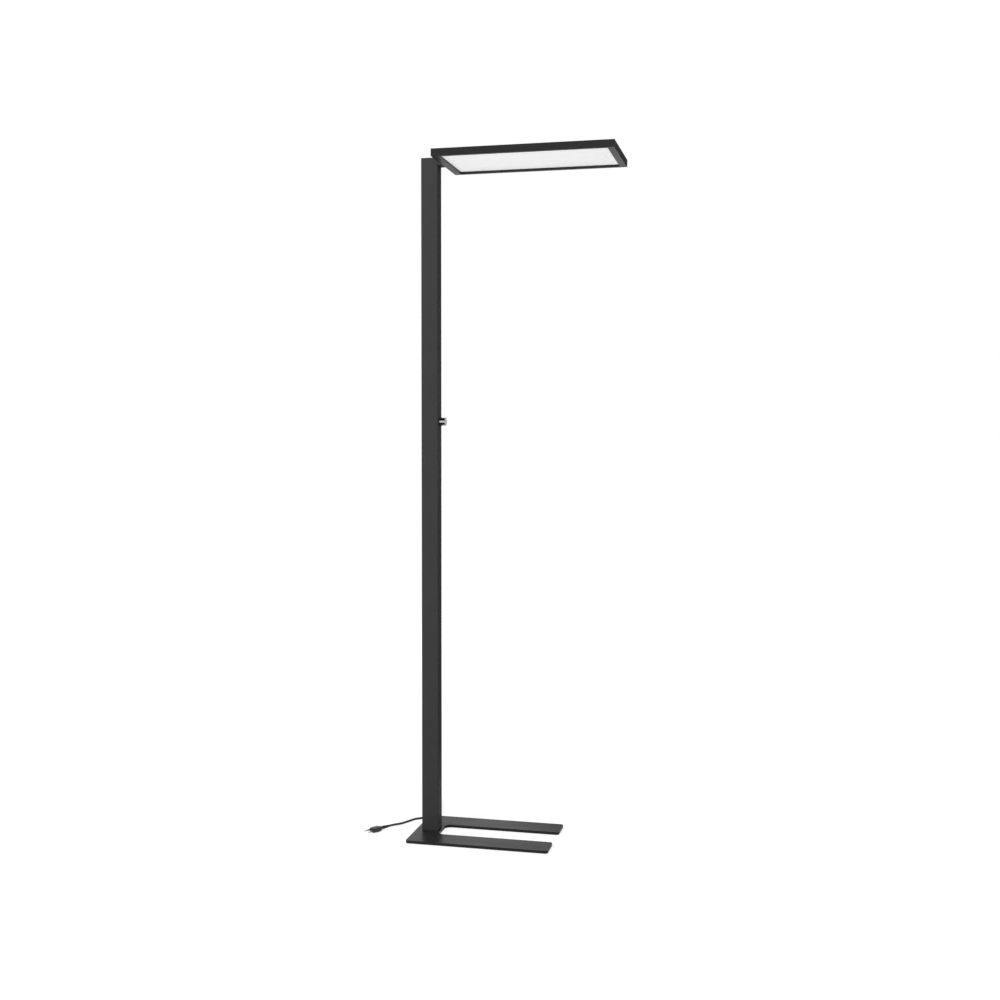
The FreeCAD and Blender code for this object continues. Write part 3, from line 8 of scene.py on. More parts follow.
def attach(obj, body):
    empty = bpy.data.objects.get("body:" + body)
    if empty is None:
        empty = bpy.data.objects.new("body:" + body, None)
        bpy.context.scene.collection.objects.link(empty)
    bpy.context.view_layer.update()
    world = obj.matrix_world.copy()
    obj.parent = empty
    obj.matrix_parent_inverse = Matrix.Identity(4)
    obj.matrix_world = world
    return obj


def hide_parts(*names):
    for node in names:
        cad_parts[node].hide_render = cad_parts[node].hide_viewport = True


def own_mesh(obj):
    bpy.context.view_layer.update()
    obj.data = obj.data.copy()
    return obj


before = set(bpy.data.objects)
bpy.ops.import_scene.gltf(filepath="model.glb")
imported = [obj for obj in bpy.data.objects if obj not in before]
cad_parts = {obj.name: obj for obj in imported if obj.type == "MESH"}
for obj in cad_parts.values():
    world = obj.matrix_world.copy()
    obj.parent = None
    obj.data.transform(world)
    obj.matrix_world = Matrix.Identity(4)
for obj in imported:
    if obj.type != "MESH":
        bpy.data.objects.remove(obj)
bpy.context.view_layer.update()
print("frame loaded:", len(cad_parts), "nodes")

mm = 0.001
scene = bpy.context.scene
scene.view_settings.view_transform = "Standard"

# place in metres, turns in degrees
cameraSettings = {
    "place": (1.02995, -3.55191, 1.1504),
    "azimuth": 13.098,
    "tiltDown": 2.740,
    "roll": 0.070,
    "lens": 45.914,
    "sensor": 36.0,
    "clipEnd": 100,
}


def rotation(degrees, axis):
    return Matrix.Rotation(math.radians(degrees), 4, axis)


def addObject(name, data):
    thing = bpy.data.objects.new(name, data)
    scene.collection.objects.link(thing)
    return thing


def makeCamera(settings):
    data = bpy.data.cameras.new("camera")
    data.lens = settings["lens"]
    data.sensor_width = settings["sensor"]
    data.clip_end = settings["clipEnd"]
    camera = addObject("camera", data)
    turn = rotation(settings["azimuth"], "Z")
    tilt = rotation(90 - settings["tiltDown"], "X")
    roll = rotation(settings["roll"], "Z")
    camera.matrix_world = Matrix.Translation(settings["place"]) @ turn @ tilt @ roll
    scene.camera = camera


makeCamera(cameraSettings)

# edges that turn more than this many degrees stay sharp
sharpAngles = {"turned": 35, "grown": 40, "plug": 50, "tie": 50, "knob": 25}
weldDistance = 1e-7


def addPiece(name, data, material=None, body="stand"):
    piece = addObject(name, data)
    if material:
        data.materials.append(material)
    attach(piece, body)
    return piece


def shadeSmooth(shape, sharpAngle):
    for face in shape.faces:
        face.smooth = True
    for edge in shape.edges:
        if len(edge.link_faces) == 2 and edge.calc_face_angle() > math.radians(sharpAngle):
            edge.smooth = False


# rings of points joined into one skin, with flat ends or closed on itself
def ringMesh(name, rings, sharpAngle, closeLoop=False):
    shape = bmesh.new()
    loops = [[shape.verts.new(point) for point in ring] for ring in rings]
    pairs = list(zip(loops, loops[1:]))
    if closeLoop:
        pairs.append((loops[-1], loops[0]))
    for one, two in pairs:
        for number in range(len(one)):
            after = (number + 1) % len(one)
            shape.faces.new((one[number], one[after], two[after], two[number]))
    if not closeLoop:
        shape.faces.new(list(reversed(loops[0])))
        shape.faces.new(loops[-1])
    bmesh.ops.remove_doubles(shape, verts=shape.verts, dist=weldDistance)
    bmesh.ops.recalc_face_normals(shape, faces=shape.faces)
    shadeSmooth(shape, sharpAngle)
    mesh = bpy.data.meshes.new(name)
    shape.to_mesh(mesh)
    shape.free()
    return mesh


# circles round an axis along X: profile points are (X, radius) in mm
def circleRings(profile, segments, height=0):
    rings = []
    for along, radius in profile:
        ring = []
        for number in range(segments):
            angle = 2 * math.pi * number / segments
            y, z = radius * math.cos(angle), radius * math.sin(angle)
            ring.append(Vector((along, y, height + z)) * mm)
        rings.append(ring)
    return rings


def setDown(mesh, place, heading=0.0):
    mesh.transform(Matrix.Translation(Vector(place) * mm) @ rotation(heading, "Z"))


def finalMesh(thing):
    bpy.context.view_layer.update()
    evaluated = thing.evaluated_get(bpy.context.evaluated_depsgraph_get())
    return bpy.data.meshes.new_from_object(evaluated)


def newTree(name, kind, inputs, outputs):
    tree = bpy.data.node_groups.new(name, kind)
    for label, socketType, value in inputs:
        socket = tree.interface.new_socket(label, in_out="INPUT", socket_type=socketType)
        if value is not None:
            socket.default_value = value
    for label, socketType in outputs:
        tree.interface.new_socket(label, in_out="OUTPUT", socket_type=socketType)
    return tree, tree.nodes.new("NodeGroupInput"), tree.nodes.new("NodeGroupOutput")


# a socket's value, or a link to it
def feed(tree, value, socket):
    if isinstance(value, bpy.types.NodeSocket):
        tree.links.new(value, socket)
    else:
        socket.default_value = value


def mathNode(tree, operation, *values):
    node = tree.nodes.new("ShaderNodeMath")
    node.operation = operation
    for socket, value in zip(node.inputs, values):
        feed(tree, value, socket)
    return node.outputs[0]


def vectorNode(tree, operation, first, second):
    node = tree.nodes.new("ShaderNodeVectorMath")
    node.operation = operation
    for socket, value in zip(node.inputs, (first, second)):
        feed(tree, value, socket)
    return node.outputs["Value" if operation == "LENGTH" else "Vector"]


def splitVector(tree, vector):
    node = tree.nodes.new("ShaderNodeSeparateXYZ")
    feed(tree, vector, node.inputs[0])
    return node.outputs


def joinVector(tree, values):
    node = tree.nodes.new("ShaderNodeCombineXYZ")
    for socket, value in zip(node.inputs, values):
        feed(tree, value, socket)
    return node.outputs[0]


def mapRange(tree, value, fromReach=(0, 1), toReach=(0, 1)):
    node = tree.nodes.new("ShaderNodeMapRange")
    node.inputs["From Min"].default_value, node.inputs["From Max"].default_value = fromReach
    node.inputs["To Min"].default_value, node.inputs["To Max"].default_value = toReach
    feed(tree, value, node.inputs["Value"])
    return node.outputs[0]


# the numbers of a mix node's sockets for colours
mixPlaces = {"share": 0, "first": 6, "second": 7, "result": 2}


def mixColours(tree, share, first, second):
    node = tree.nodes.new("ShaderNodeMix")
    node.data_type = "RGBA"
    feed(tree, share, node.inputs[mixPlaces["share"]])
    feed(tree, first, node.inputs[mixPlaces["first"]])
    feed(tree, second, node.inputs[mixPlaces["second"]])
    return node.outputs[mixPlaces["result"]]


def objectPlace(tree):
    return tree.nodes.new("ShaderNodeTexCoord").outputs["Object"]


# what all finishes share
surfaceSettings = {
    "grainDetail": 2,
    "cloudDetail": 5,
    "cloudRoughness": 0.6,
    "speckScale": 0.35,  # against the grain's
    "speckSize": 0.12,
    "noiseReach": (0.3, 0.7),
    "mottle": 0.4,  # the grain's share in the colour
    "dustShare": 0.35,
    "bumpStrength": 0.8,
}


# fine bumps of a coating or moulding, and slow cloudy change over the surface
def makeGrainGroup(settings):
    inputs = [
        ("Grain Scale", "NodeSocketFloat", 1500.0),
        ("Cloud Scale", "NodeSocketFloat", 6.0),
        ("Stretch", "NodeSocketVector", (1.0, 1.0, 1.0)),
    ]
    outputs = [(label, "NodeSocketFloat") for label in ("Grain", "Cloud", "Speck")]
    tree, given, result = newTree("surfaceGrain", "ShaderNodeTree", inputs, outputs)
    stretched = vectorNode(tree, "MULTIPLY", objectPlace(tree), given.outputs["Stretch"])
    grain = tree.nodes.new("ShaderNodeTexNoise")
    grain.inputs["Detail"].default_value = settings["grainDetail"]
    feed(tree, stretched, grain.inputs["Vector"])
    feed(tree, given.outputs["Grain Scale"], grain.inputs["Scale"])
    cloud = tree.nodes.new("ShaderNodeTexNoise")
    cloud.inputs["Detail"].default_value = settings["cloudDetail"]
    cloud.inputs["Roughness"].default_value = settings["cloudRoughness"]
    feed(tree, stretched, cloud.inputs["Vector"])
    feed(tree, given.outputs["Cloud Scale"], cloud.inputs["Scale"])
    dots = tree.nodes.new("ShaderNodeTexVoronoi")
    feed(tree, stretched, dots.inputs["Vector"])
    dotScale = mathNode(tree, "MULTIPLY", given.outputs["Grain Scale"], settings["speckScale"])
    feed(tree, dotScale, dots.inputs["Scale"])
    speck = mathNode(tree, "LESS_THAN", dots.outputs["Distance"], settings["speckSize"])
    feed(tree, grain.outputs["Fac"], result.inputs["Grain"])
    feed(tree, cloud.outputs["Fac"], result.inputs["Cloud"])
    feed(tree, speck, result.inputs["Speck"])
    return tree


# tool marks round an axis that runs along X through a centre
def makeTurnedGroup():
    inputs = [
        ("Centre", "NodeSocketVector", (0.0, 0.0, 0.0)),
        ("Pitch", "NodeSocketFloat", 0.25 * mm),
    ]
    outputs = [("Marks", "NodeSocketFloat")]
    tree, given, result = newTree("turnedMarks", "ShaderNodeTree", inputs, outputs)
    local = vectorNode(tree, "SUBTRACT", objectPlace(tree), given.outputs["Centre"])
    x, y, z = splitVector(tree, local)
    squares = [mathNode(tree, "POWER", part, 2.0) for part in (y, z)]
    radius = mathNode(tree, "SQRT", mathNode(tree, "ADD", *squares))
    spread = mathNode(tree, "ADD", radius, x)
    phase = mathNode(tree, "DIVIDE", spread, given.outputs["Pitch"])
    wave = mathNode(tree, "SINE", mathNode(tree, "MULTIPLY", phase, 2 * math.pi))
    feed(tree, mathNode(tree, "MULTIPLY_ADD", wave, 0.5, 0.5), result.inputs["Marks"])
    return tree


# small pyramids of an opal diffuser's structured face
def makePrismGroup():
    inputs = [("Pitch", "NodeSocketFloat", 2 * mm)]
    outputs = [("Height", "NodeSocketFloat")]
    tree, given, result = newTree("prismFace", "ShaderNodeTree", inputs, outputs)
    waves = []
    for part in splitVector(tree, objectPlace(tree))[:2]:
        phase = mathNode(tree, "DIVIDE", part, given.outputs["Pitch"])
        waves.append(mathNode(tree, "PINGPONG", phase, 0.5))
    feed(tree, mathNode(tree, "MINIMUM", *waves), result.inputs["Height"])
    return tree


grainGroup = makeGrainGroup(surfaceSettings)
turnedGroup = makeTurnedGroup()
prismGroup = makePrismGroup()


def placeGroup(tree, group, values):
    node = tree.nodes.new("ShaderNodeGroup")
    node.node_tree = group
    for label, value in values.items():
        node.inputs[label].default_value = value
    return node


knobHeight = 1200
knobAxis = (0.0, 0.0, knobHeight * mm)

# colours are linear; grain is in bumps per metre; depth, turned and prism are in mm
finishes = {
    "poleCoat": {
        "dark": 0.052, "light": 0.062, "rough": (0.5, 0.6), "specular": 0.05,
        "grain": 1000, "depth": 0.12,
    },
    # the head wears the pole's powder coat; its darker colour is painted shade, for the head's
    # less lit sides
    "headCoatPaintedShade": {
        "dark": 0.009, "light": 0.014, "rough": (0.42, 0.52), "specular": 0.42,
        "grain": 1000, "depth": 0.12,
    },
    "plateCoat": {
        "dark": 0.019, "light": 0.026, "rough": (0.28, 0.40), "specular": 0.12,
        "grain": 1000, "depth": 0.06, "stretch": (0.5, 3.0, 1.0), "cloud": 9,
    },
    "capPlastic": {
        "dark": 0.026, "light": 0.032, "rough": (0.5, 0.6), "grain": 2600, "depth": 0.02,
    },
    "opalLower": {
        "dark": 0.84, "light": 0.88, "rough": (0.45, 0.55), "specular": 0.4,
        "prism": 2.0, "depth": 0.05, "glow": 0.53,
    },
    "opalUpper": {
        "dark": 0.78, "light": 0.82, "rough": (0.4, 0.5), "specular": 0.4,
        "prism": 1.6, "depth": 0.05,
    },
    "knobChrome": {
        "dark": 0.44, "light": 0.50, "rough": (0.07, 0.13), "metal": 1.0,
        "turned": 0.3, "depth": 0.002,
    },
    "knobFace": {
        "dark": 0.46, "light": 0.52, "rough": (0.3, 0.36), "metal": 1.0,
        "turned": 0.35, "depth": 0.008,
    },
    "steel": {
        "dark": 0.42, "light": 0.52, "rough": (0.28, 0.4), "metal": 1.0,
        "grain": 2500, "depth": 0.01,
    },
    "nickel": {
        "dark": 0.5, "light": 0.58, "rough": (0.2, 0.3), "metal": 1.0,
        "turned": 0.2, "depth": 0.004, "tint": (1.0, 0.96, 0.9),
    },
    "brass": {
        "dark": 0.5, "light": 0.6, "rough": (0.22, 0.32), "metal": 1.0,
        "turned": 0.2, "depth": 0.004, "tint": (1.0, 0.78, 0.42),
    },
    "blackSteel": {
        "dark": 0.02, "light": 0.035, "rough": (0.35, 0.45), "metal": 0.6,
        "grain": 3000, "depth": 0.01,
    },
    "bareAluminium": {
        "dark": 0.52, "light": 0.6, "rough": (0.3, 0.42), "metal": 1.0,
        "grain": 1800, "depth": 0.01, "stretch": (0.1, 1.0, 1.0),
    },
    "clearAcrylic": {
        "dark": 0.8, "light": 0.85, "rough": (0.05, 0.1),
        "prism": 3.0, "depth": 0.03, "tint": (0.96, 1.0, 0.99),
    },
    "whitePlastic": {
        "dark": 0.72, "light": 0.78, "rough": (0.4, 0.5), "grain": 2200, "depth": 0.02,
    },
    "greyPlastic": {
        "dark": 0.08, "light": 0.1, "rough": (0.45, 0.55), "grain": 2200, "depth": 0.02,
    },
    "whiteBoard": {
        "dark": 0.68, "light": 0.74, "rough": (0.3, 0.4), "grain": 4000, "depth": 0.01,
    },
    "greenBoard": {
        "dark": 0.05, "light": 0.08, "rough": (0.25, 0.35),
        "grain": 4000, "depth": 0.01, "tint": (0.3, 1.0, 0.45),
    },
    "padRubber": {
        "dark": 0.02, "light": 0.03, "rough": (0.7, 0.8), "grain": 1500, "depth": 0.04,
    },
    "leadJacket": {
        "dark": 0.015, "light": 0.021, "rough": (0.45, 0.58),
        "grain": 2400, "depth": 0.03, "dust": 0.04,
    },
    "plugPlastic": {
        "dark": 0.018, "light": 0.024, "rough": (0.38, 0.5),
        "grain": 2000, "depth": 0.03, "dust": 0.04,
    },
    "pinSleeve": {
        "dark": 0.015, "light": 0.02, "rough": (0.3, 0.4), "grain": 2600, "depth": 0.01,
    },
    "wireJacket": {
        "dark": 0.6, "light": 0.68, "rough": (0.4, 0.5), "grain": 2600, "depth": 0.02,
    },
    "tieFleece": {
        "dark": 0.010, "light": 0.030, "rough": (0.85, 0.95),
        "grain": 3600, "depth": 0.35, "sheen": 0.4,
    },
}


def tinted(value, tint):
    return (value * tint[0], value * tint[1], value * tint[2], 1.0)


def makeFinish(name, settings):
    material = bpy.data.materials.new(name)
    material.use_nodes = True
    tree = material.node_tree
    shader = tree.nodes["Principled BSDF"]
    tint = settings.get("tint", (1.0, 1.0, 1.0))
    values = {
        "Grain Scale": float(settings.get("grain", 2500)),
        "Cloud Scale": float(settings.get("cloud", 5.0)),
        "Stretch": settings.get("stretch", (1.0, 1.0, 1.0)),
    }
    grain = placeGroup(tree, grainGroup, values)
    mottle = surfaceSettings["mottle"]
    slow = mathNode(tree, "MULTIPLY", grain.outputs["Cloud"], 1 - mottle)
    mottled = mathNode(tree, "MULTIPLY_ADD", grain.outputs["Grain"], mottle, slow)
    share = mapRange(tree, mottled, surfaceSettings["noiseReach"])
    dark, light = tinted(settings["dark"], tint), tinted(settings["light"], tint)
    colour = mixColours(tree, share, dark, light)
    if "glow" in settings:
        feed(tree, colour, shader.inputs["Emission Color"])
        shader.inputs["Emission Strength"].default_value = settings["glow"]
    if "dust" in settings:
        dusty = mathNode(tree, "MULTIPLY", grain.outputs["Speck"], surfaceSettings["dustShare"])
        dustColour = tinted(settings["light"] + settings["dust"], tint)
        colour = mixColours(tree, dusty, colour, dustColour)
    feed(tree, colour, shader.inputs["Base Color"])
    cloud = grain.outputs["Cloud"]
    rough = mapRange(tree, cloud, surfaceSettings["noiseReach"], settings["rough"])
    feed(tree, rough, shader.inputs["Roughness"])
    shader.inputs["Metallic"].default_value = settings.get("metal", 0.0)
    shader.inputs["Specular IOR Level"].default_value = settings.get("specular", 0.5)
    if "sheen" in settings:
        shader.inputs["Sheen Weight"].default_value = settings["sheen"]
    height = grain.outputs["Grain"]
    if "turned" in settings:
        values = {"Centre": knobAxis, "Pitch": settings["turned"] * mm}
        height = placeGroup(tree, turnedGroup, values).outputs["Marks"]
    if "prism" in settings:
        values = {"Pitch": settings["prism"] * mm}
        height = placeGroup(tree, prismGroup, values).outputs["Height"]
    bump = tree.nodes.new("ShaderNodeBump")
    bump.inputs["Distance"].default_value = settings["depth"] * mm
    bump.inputs["Strength"].default_value = surfaceSettings["bumpStrength"]
    feed(tree, height, bump.inputs["Height"])
    feed(tree, bump.outputs[0], shader.inputs["Normal"])
    return material


materials = {name: makeFinish(name, settings) for name, settings in finishes.items()}

finishNodes = {
    "plateCoat": ["base_plate"],
    "poleCoat": ["pole_tube", "head_bracket"],
    # painted shade: the head's parts get the pole's powder coat in a darker tone
    "headCoatPaintedShade": [
        "frame_near_rail", "frame_far_rail", "frame_pole_end", "frame_outer_end", "top_cover",
    ],
    "capPlastic": ["pole_top_cap"],
    "opalLower": ["lower_diffuser"],
    "opalUpper": ["upper_diffuser"],
    "clearAcrylic": ["light_guide_plate"],
    "bareAluminium": ["pole_foot_block", "corner_keys", "head_posts", "heat_spreader"],
    "steel": [
        "base_screws", "key_grub_screws", "board_screws", "bracket_screws", "head_screws",
        "bracket_backing_plate", "electrics_tray", "driver_screws", "terminal_screws",
        "dimmer_washer", "return_spring",
    ],
    "blackSteel": ["foot_side_screws", "cover_screws", "tray_screws", "knob_grub_screw"],
    "whitePlastic": [
        "reflector_sheet", "head_terminal", "led_driver", "mains_terminal", "push_plunger",
    ],
    "greyPlastic": ["dimmer_housing"],
    "whiteBoard": ["edge_led_strips", "uplight_boards"],
    "greenBoard": ["dimmer_board"],
    "nickel": ["dimmer_bushing", "dimmer_nut"],
    "brass": ["dimmer_spindle"],
    "padRubber": ["base_glides"],
    "leadJacket": ["inner_mains_lead"],
    "wireJacket": ["supply_lead", "dimmer_lead", "head_lead", "led_wires"],
    "plugPlastic": ["cord_gland", "gland_nut"],
}
for finishName, nodeNames in finishNodes.items():
    for nodeName in nodeNames:
        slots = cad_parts[nodeName].data.materials
        slots.clear()
        slots.append(materials[finishName])
print("finishes made:", len(finishes))

# the lead's route is the same as the model's: sizes in mm, turns in degrees
leadSettings = {
    "diameter": 6.5,
    "profileSteps": 5,
    "pathSteps": 8,
    "exit": (0.0, 54.0, 36.0),
    "leavePole": [(0, 21, 0), (-4.4, 43, -3.4)],
    "enterHank": [-49.5, -27.5, -6.5],
    "enterShift": (0.6, 0, 4.2),
    "hankPlace": (-48.4, 159.5),
    "hankHeading": 16.17,
    "run": 118.0,
    "bends": (0.13, 0.37, 0.63, 0.87),  # shares of the run
    "lastBend": 0.38,
    "foldPoints": 4,
    "inner": 18.0,
    "step": 7.6,
    "waist": 12.0,
    "waistLift": 1.5,
    "lastLift": 0.8,  # share of the waist's lift
    "layerPitch": 7.1,
    "layers": 4,
    "leaveHank": [-6.5, -21.5],
    "floorWay": [
        (-54.4, 121.0), (-62.6, 108.4), (-75.4, 100.4), (-84.0, 89.0), (-94.4, 66.0),
        (-108.5, 39.5),
    ],
    "plugStretch": 20,
    "plugPlace": (-134.5, -3.5),
    "plugHeading": 236.5,
    "plugLevel": 6.85,
    "plugSleeve": 24,
}


# x across the hank and s along it, from its place
def hankSpot(settings, x, s, level, lift=0.0):
    turn = math.radians(settings["hankHeading"])
    across = Vector((math.cos(turn), math.sin(turn), 0))
    along = Vector((-math.sin(turn), math.cos(turn), 0))
    start = Vector((*settings["hankPlace"], settings["diameter"] / 2))
    rise = Vector((0, 0, (level - 1) * settings["layerPitch"] + lift))
    return start + across * x + along * s + rise


# two S-bends that draw a run in at the tie: four points, the middle two at the tie
def runPoints(settings, x, levelFrom, levelTo, away):
    waist, lift = settings["waist"], settings["waistLift"]
    drawn = x - waist if x > 0 else x + waist
    middle = (levelFrom + levelTo) / 2
    near, far = (levelFrom, levelTo) if away else (levelTo, levelFrom)
    spots = [(x, near, 0.0), (drawn, middle, lift), (drawn, middle, lift), (x, far, 0.0)]
    points = []
    for share, (across, level, rise) in zip(settings["bends"], spots):
        points.append(hankSpot(settings, across, share * settings["run"], level, rise))
    return points if away else list(reversed(points))


# half a turn round the end of the hank
def foldPoints(settings, xFrom, xTo, level, far):
    centre, reach = (xFrom + xTo) / 2, abs(xTo - xFrom) / 2
    side = 1 if xFrom > centre else -1
    turnStep = 180 / settings["foldPoints"]
    out = reach / math.cos(math.radians(turnStep / 2))
    points = []
    for step in range(settings["foldPoints"]):
        angle = math.radians((step + 0.5) * turnStep)
        s = out * math.sin(angle)
        s = settings["run"] + s if far else -s
        points.append(hankSpot(settings, centre + side * out * math.cos(angle), s, level))
    return points


# three columns of the hank: the inner and outer one on the right, and the left one
def hankColumns(settings):
    inner = settings["inner"]
    return inner, inner + settings["step"], -(inner + settings["step"] / 2)


def hankPoints(settings):
    inner, outer, left = hankColumns(settings)
    column, upper, points = outer, settings["layers"], []
    for level in range(settings["layers"], 0, -1):
        points += runPoints(settings, column, upper, level, True)
        points += foldPoints(settings, column, left, level, True)
        upper = level
        if level > 1:
            points += runPoints(settings, left, level, level, False)
            column = inner if column == outer else outer
            points += foldPoints(settings, left, column, level, False)
    drawn = left + settings["waist"]
    lift, run = settings["waistLift"], settings["run"]
    first, _, third, fourth = settings["bends"]
    points += [
        hankSpot(settings, left, fourth * run, 1),
        hankSpot(settings, drawn, third * run, 1, lift),
        hankSpot(settings, drawn, settings["lastBend"] * run, 1, lift * settings["lastLift"]),
        hankSpot(settings, drawn, first * run, 1),
    ]
    return points


def plugWay(settings):
    turn = math.radians(settings["plugHeading"])
    return Vector((math.cos(turn), math.sin(turn), 0))


def leadPoints(settings):
    _, outer, left = hankColumns(settings)
    drawn = left + settings["waist"]
    exitPlace = Vector(settings["exit"])
    points = [exitPlace] + [exitPlace + Vector(shift) for shift in settings["leavePole"]]
    enter = [hankSpot(settings, outer, s, settings["layers"]) for s in settings["enterHank"]]
    enter[0] += Vector(settings["enterShift"])
    points += enter + hankPoints(settings)
    points += [hankSpot(settings, drawn, s, 1) for s in settings["leaveHank"]]
    points += [Vector((x, y, settings["diameter"] / 2)) for x, y in settings["floorWay"]]
    plug = Vector((*settings["plugPlace"], settings["plugLevel"]))
    points += [plug - plugWay(settings) * settings["plugStretch"], plug]
    return points


def makeLead(settings):
    data = bpy.data.curves.new("mainsLead", "CURVE")
    data.dimensions = "3D"
    data.bevel_depth = settings["diameter"] / 2 * mm
    data.bevel_resolution = settings["profileSteps"]
    data.resolution_u = settings["pathSteps"]
    data.use_fill_caps = True
    points = leadPoints(settings)
    spline = data.splines.new("NURBS")
    spline.points.add(len(points) - 1)
    for spot, point in zip(spline.points, points):
        spot.co = (*(point * mm), 1)
    spline.order_u = 3
    spline.use_endpoint_u = True
    lead = addPiece("mainsLead", data, materials["leadJacket"])
    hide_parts("lead_to_hank", "lead_hank", "lead_to_plug")
    return lead


mainsLead = makeLead(leadSettings)
print("lead laid")

# how finely geometry nodes cut the sleeves and ridges
reliefMesh = {"sleeveSides": 48, "sleeveSteps": 132, "ringEdge": 0.35, "ridgeSides": 16}


def geometryNode(tree, kind, values):
    node = tree.nodes.new("GeometryNode" + kind)
    for label, value in values.items():
        feed(tree, value, node.inputs[label])
    return node.outputs[0]


def dressTree(tree, geometry, given, result):
    real = geometryNode(tree, "RealizeInstances", {"Geometry": geometry})
    values = {"Geometry": real, "Material": given["Material"]}
    feed(tree, geometryNode(tree, "SetMaterial", values), result.inputs[0])
    return tree


# a sleeve that tapers and is cut by rings, the way a strain relief is made to bend with the lead
def makeSleeveTree(settings):
    inputs = [
        ("Length", "NodeSocketFloat", 30 * mm),
        ("Root Radius", "NodeSocketFloat", 5.5 * mm),
        ("Tip Radius", "NodeSocketFloat", 3.8 * mm),
        ("Rings", "NodeSocketFloat", 6.0),
        ("Ring Depth", "NodeSocketFloat", 0.7 * mm),
        ("Material", "NodeSocketMaterial", None),
    ]
    outputs = [("Geometry", "NodeSocketGeometry")]
    tree, group, result = newTree("ribbedSleeve", "GeometryNodeTree", inputs, outputs)
    given = group.outputs
    values = {
        "Vertices": settings["sleeveSides"],
        "Side Segments": settings["sleeveSteps"],
        "Radius": 1.0,
        "Depth": given["Length"],
    }
    blank = geometryNode(tree, "MeshCylinder", values)
    x, y, z = splitVector(tree, tree.nodes.new("GeometryNodeInputPosition").outputs[0])
    share = mathNode(tree, "ADD", mathNode(tree, "DIVIDE", z, given["Length"]), 0.5)
    slope = mathNode(tree, "SUBTRACT", given["Tip Radius"], given["Root Radius"])
    taper = mathNode(tree, "MULTIPLY_ADD", share, slope, given["Root Radius"])
    turns = mathNode(tree, "MULTIPLY", share, given["Rings"])
    wave = mathNode(tree, "COSINE", mathNode(tree, "MULTIPLY", turns, 2 * math.pi))
    cut = mathNode(tree, "SUBTRACT", 0.0, wave)
    dip = mathNode(tree, "GREATER_THAN", cut, settings["ringEdge"])
    depth = mathNode(tree, "MULTIPLY", dip, given["Ring Depth"])
    radius = mathNode(tree, "SUBTRACT", taper, depth)
    wide = [mathNode(tree, "MULTIPLY", part, radius) for part in (x, y)]
    values = {"Geometry": blank, "Position": joinVector(tree, (*wide, z))}
    return dressTree(tree, geometryNode(tree, "SetPosition", values), given, result)


# rounded ridges in a row on both flat faces of a grip
def makeRidgeTree(settings):
    inputs = [
        ("Count", "NodeSocketInt", 5),
        ("Pitch", "NodeSocketFloat", 2.6 * mm),
        ("Ridge Length", "NodeSocketFloat", 11 * mm),
        ("Ridge Radius", "NodeSocketFloat", 0.75 * mm),
        ("Half Thickness", "NodeSocketFloat", 6.4 * mm),
        ("Material", "NodeSocketMaterial", None),
    ]
    outputs = [("Geometry", "NodeSocketGeometry")]
    tree, group, result = newTree("gripRidges", "GeometryNodeTree", inputs, outputs)
    given = group.outputs
    joined = tree.nodes.new("GeometryNodeJoinGeometry")
    values = {
        "Vertices": settings["ridgeSides"],
        "Radius": given["Ridge Radius"],
        "Depth": given["Ridge Length"],
    }
    bar = geometryNode(tree, "MeshCylinder", values)
    step = joinVector(tree, (given["Pitch"], 0.0, 0.0))
    for side in (-1.0, 1.0):
        lift = mathNode(tree, "MULTIPLY", given["Half Thickness"], side)
        start = joinVector(tree, (0.0, 0.0, lift))
        values = {"Count": given["Count"], "Start Location": start, "Offset": step}
        row = geometryNode(tree, "MeshLine", values)
        values = {"Points": row, "Instance": bar, "Rotation": (math.pi / 2, 0.0, 0.0)}
        feed(tree, geometryNode(tree, "InstanceOnPoints", values), joined.inputs[0])
    return dressTree(tree, joined.outputs[0], given, result)


def growPiece(name, tree, values):
    seed = addObject(name + "Seed", bpy.data.meshes.new(name + "Seed"))
    modifier = seed.modifiers.new(name, "NODES")
    modifier.node_group = tree
    for item in tree.interface.items_tree:
        if item.item_type == "SOCKET" and item.in_out == "INPUT" and item.name in values:
            modifier[item.identifier] = values[item.name]
    mesh = finalMesh(seed)
    mesh.name = name
    bpy.data.objects.remove(seed)
    shape = bmesh.new()
    shape.from_mesh(mesh)
    shadeSmooth(shape, sharpAngles["grown"])
    shape.to_mesh(mesh)
    shape.free()
    return mesh


sleeveTree = makeSleeveTree(reliefMesh)
ridgeTree = makeRidgeTree(reliefMesh)

reliefSettings = {
    "lampSleeve": {
        "Length": 30 * mm, "Root Radius": 5.5 * mm, "Tip Radius": 3.8 * mm,
        "Rings": 7.0, "Ring Depth": 0.9 * mm,
    },
    "plugSleeve": {
        "Length": leadSettings["plugSleeve"] * mm, "Root Radius": 5.2 * mm, "Tip Radius": 3.8 * mm,
        "Rings": 6.0, "Ring Depth": 0.8 * mm,
    },
}
lampSleeveRoot = (0, 24, 36)


def makeSleeve(name, rootPlace, way, nodeName):
    values = dict(reliefSettings[name], Material=materials["leadJacket"])
    mesh = growPiece(name, sleeveTree, values)
    turn = Vector(way).to_track_quat("Z", "Y").to_matrix().to_4x4()
    middle = Vector(rootPlace) * mm + Vector(way) * reliefSettings[name]["Length"] / 2
    mesh.transform(Matrix.Translation(middle) @ turn)
    piece = addPiece(name, mesh)
    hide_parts(nodeName)
    return piece


lampSleeve = makeSleeve("lampSleeve", lampSleeveRoot, (0, 1, 0), "cord_relief")
plugEnd = Vector((*leadSettings["plugPlace"], leadSettings["plugLevel"]))
plugRoot = plugEnd + plugWay(leadSettings) * leadSettings["plugSleeve"]
plugSleeve = makeSleeve("plugSleeve", plugRoot, -plugWay(leadSettings), "plug_relief")

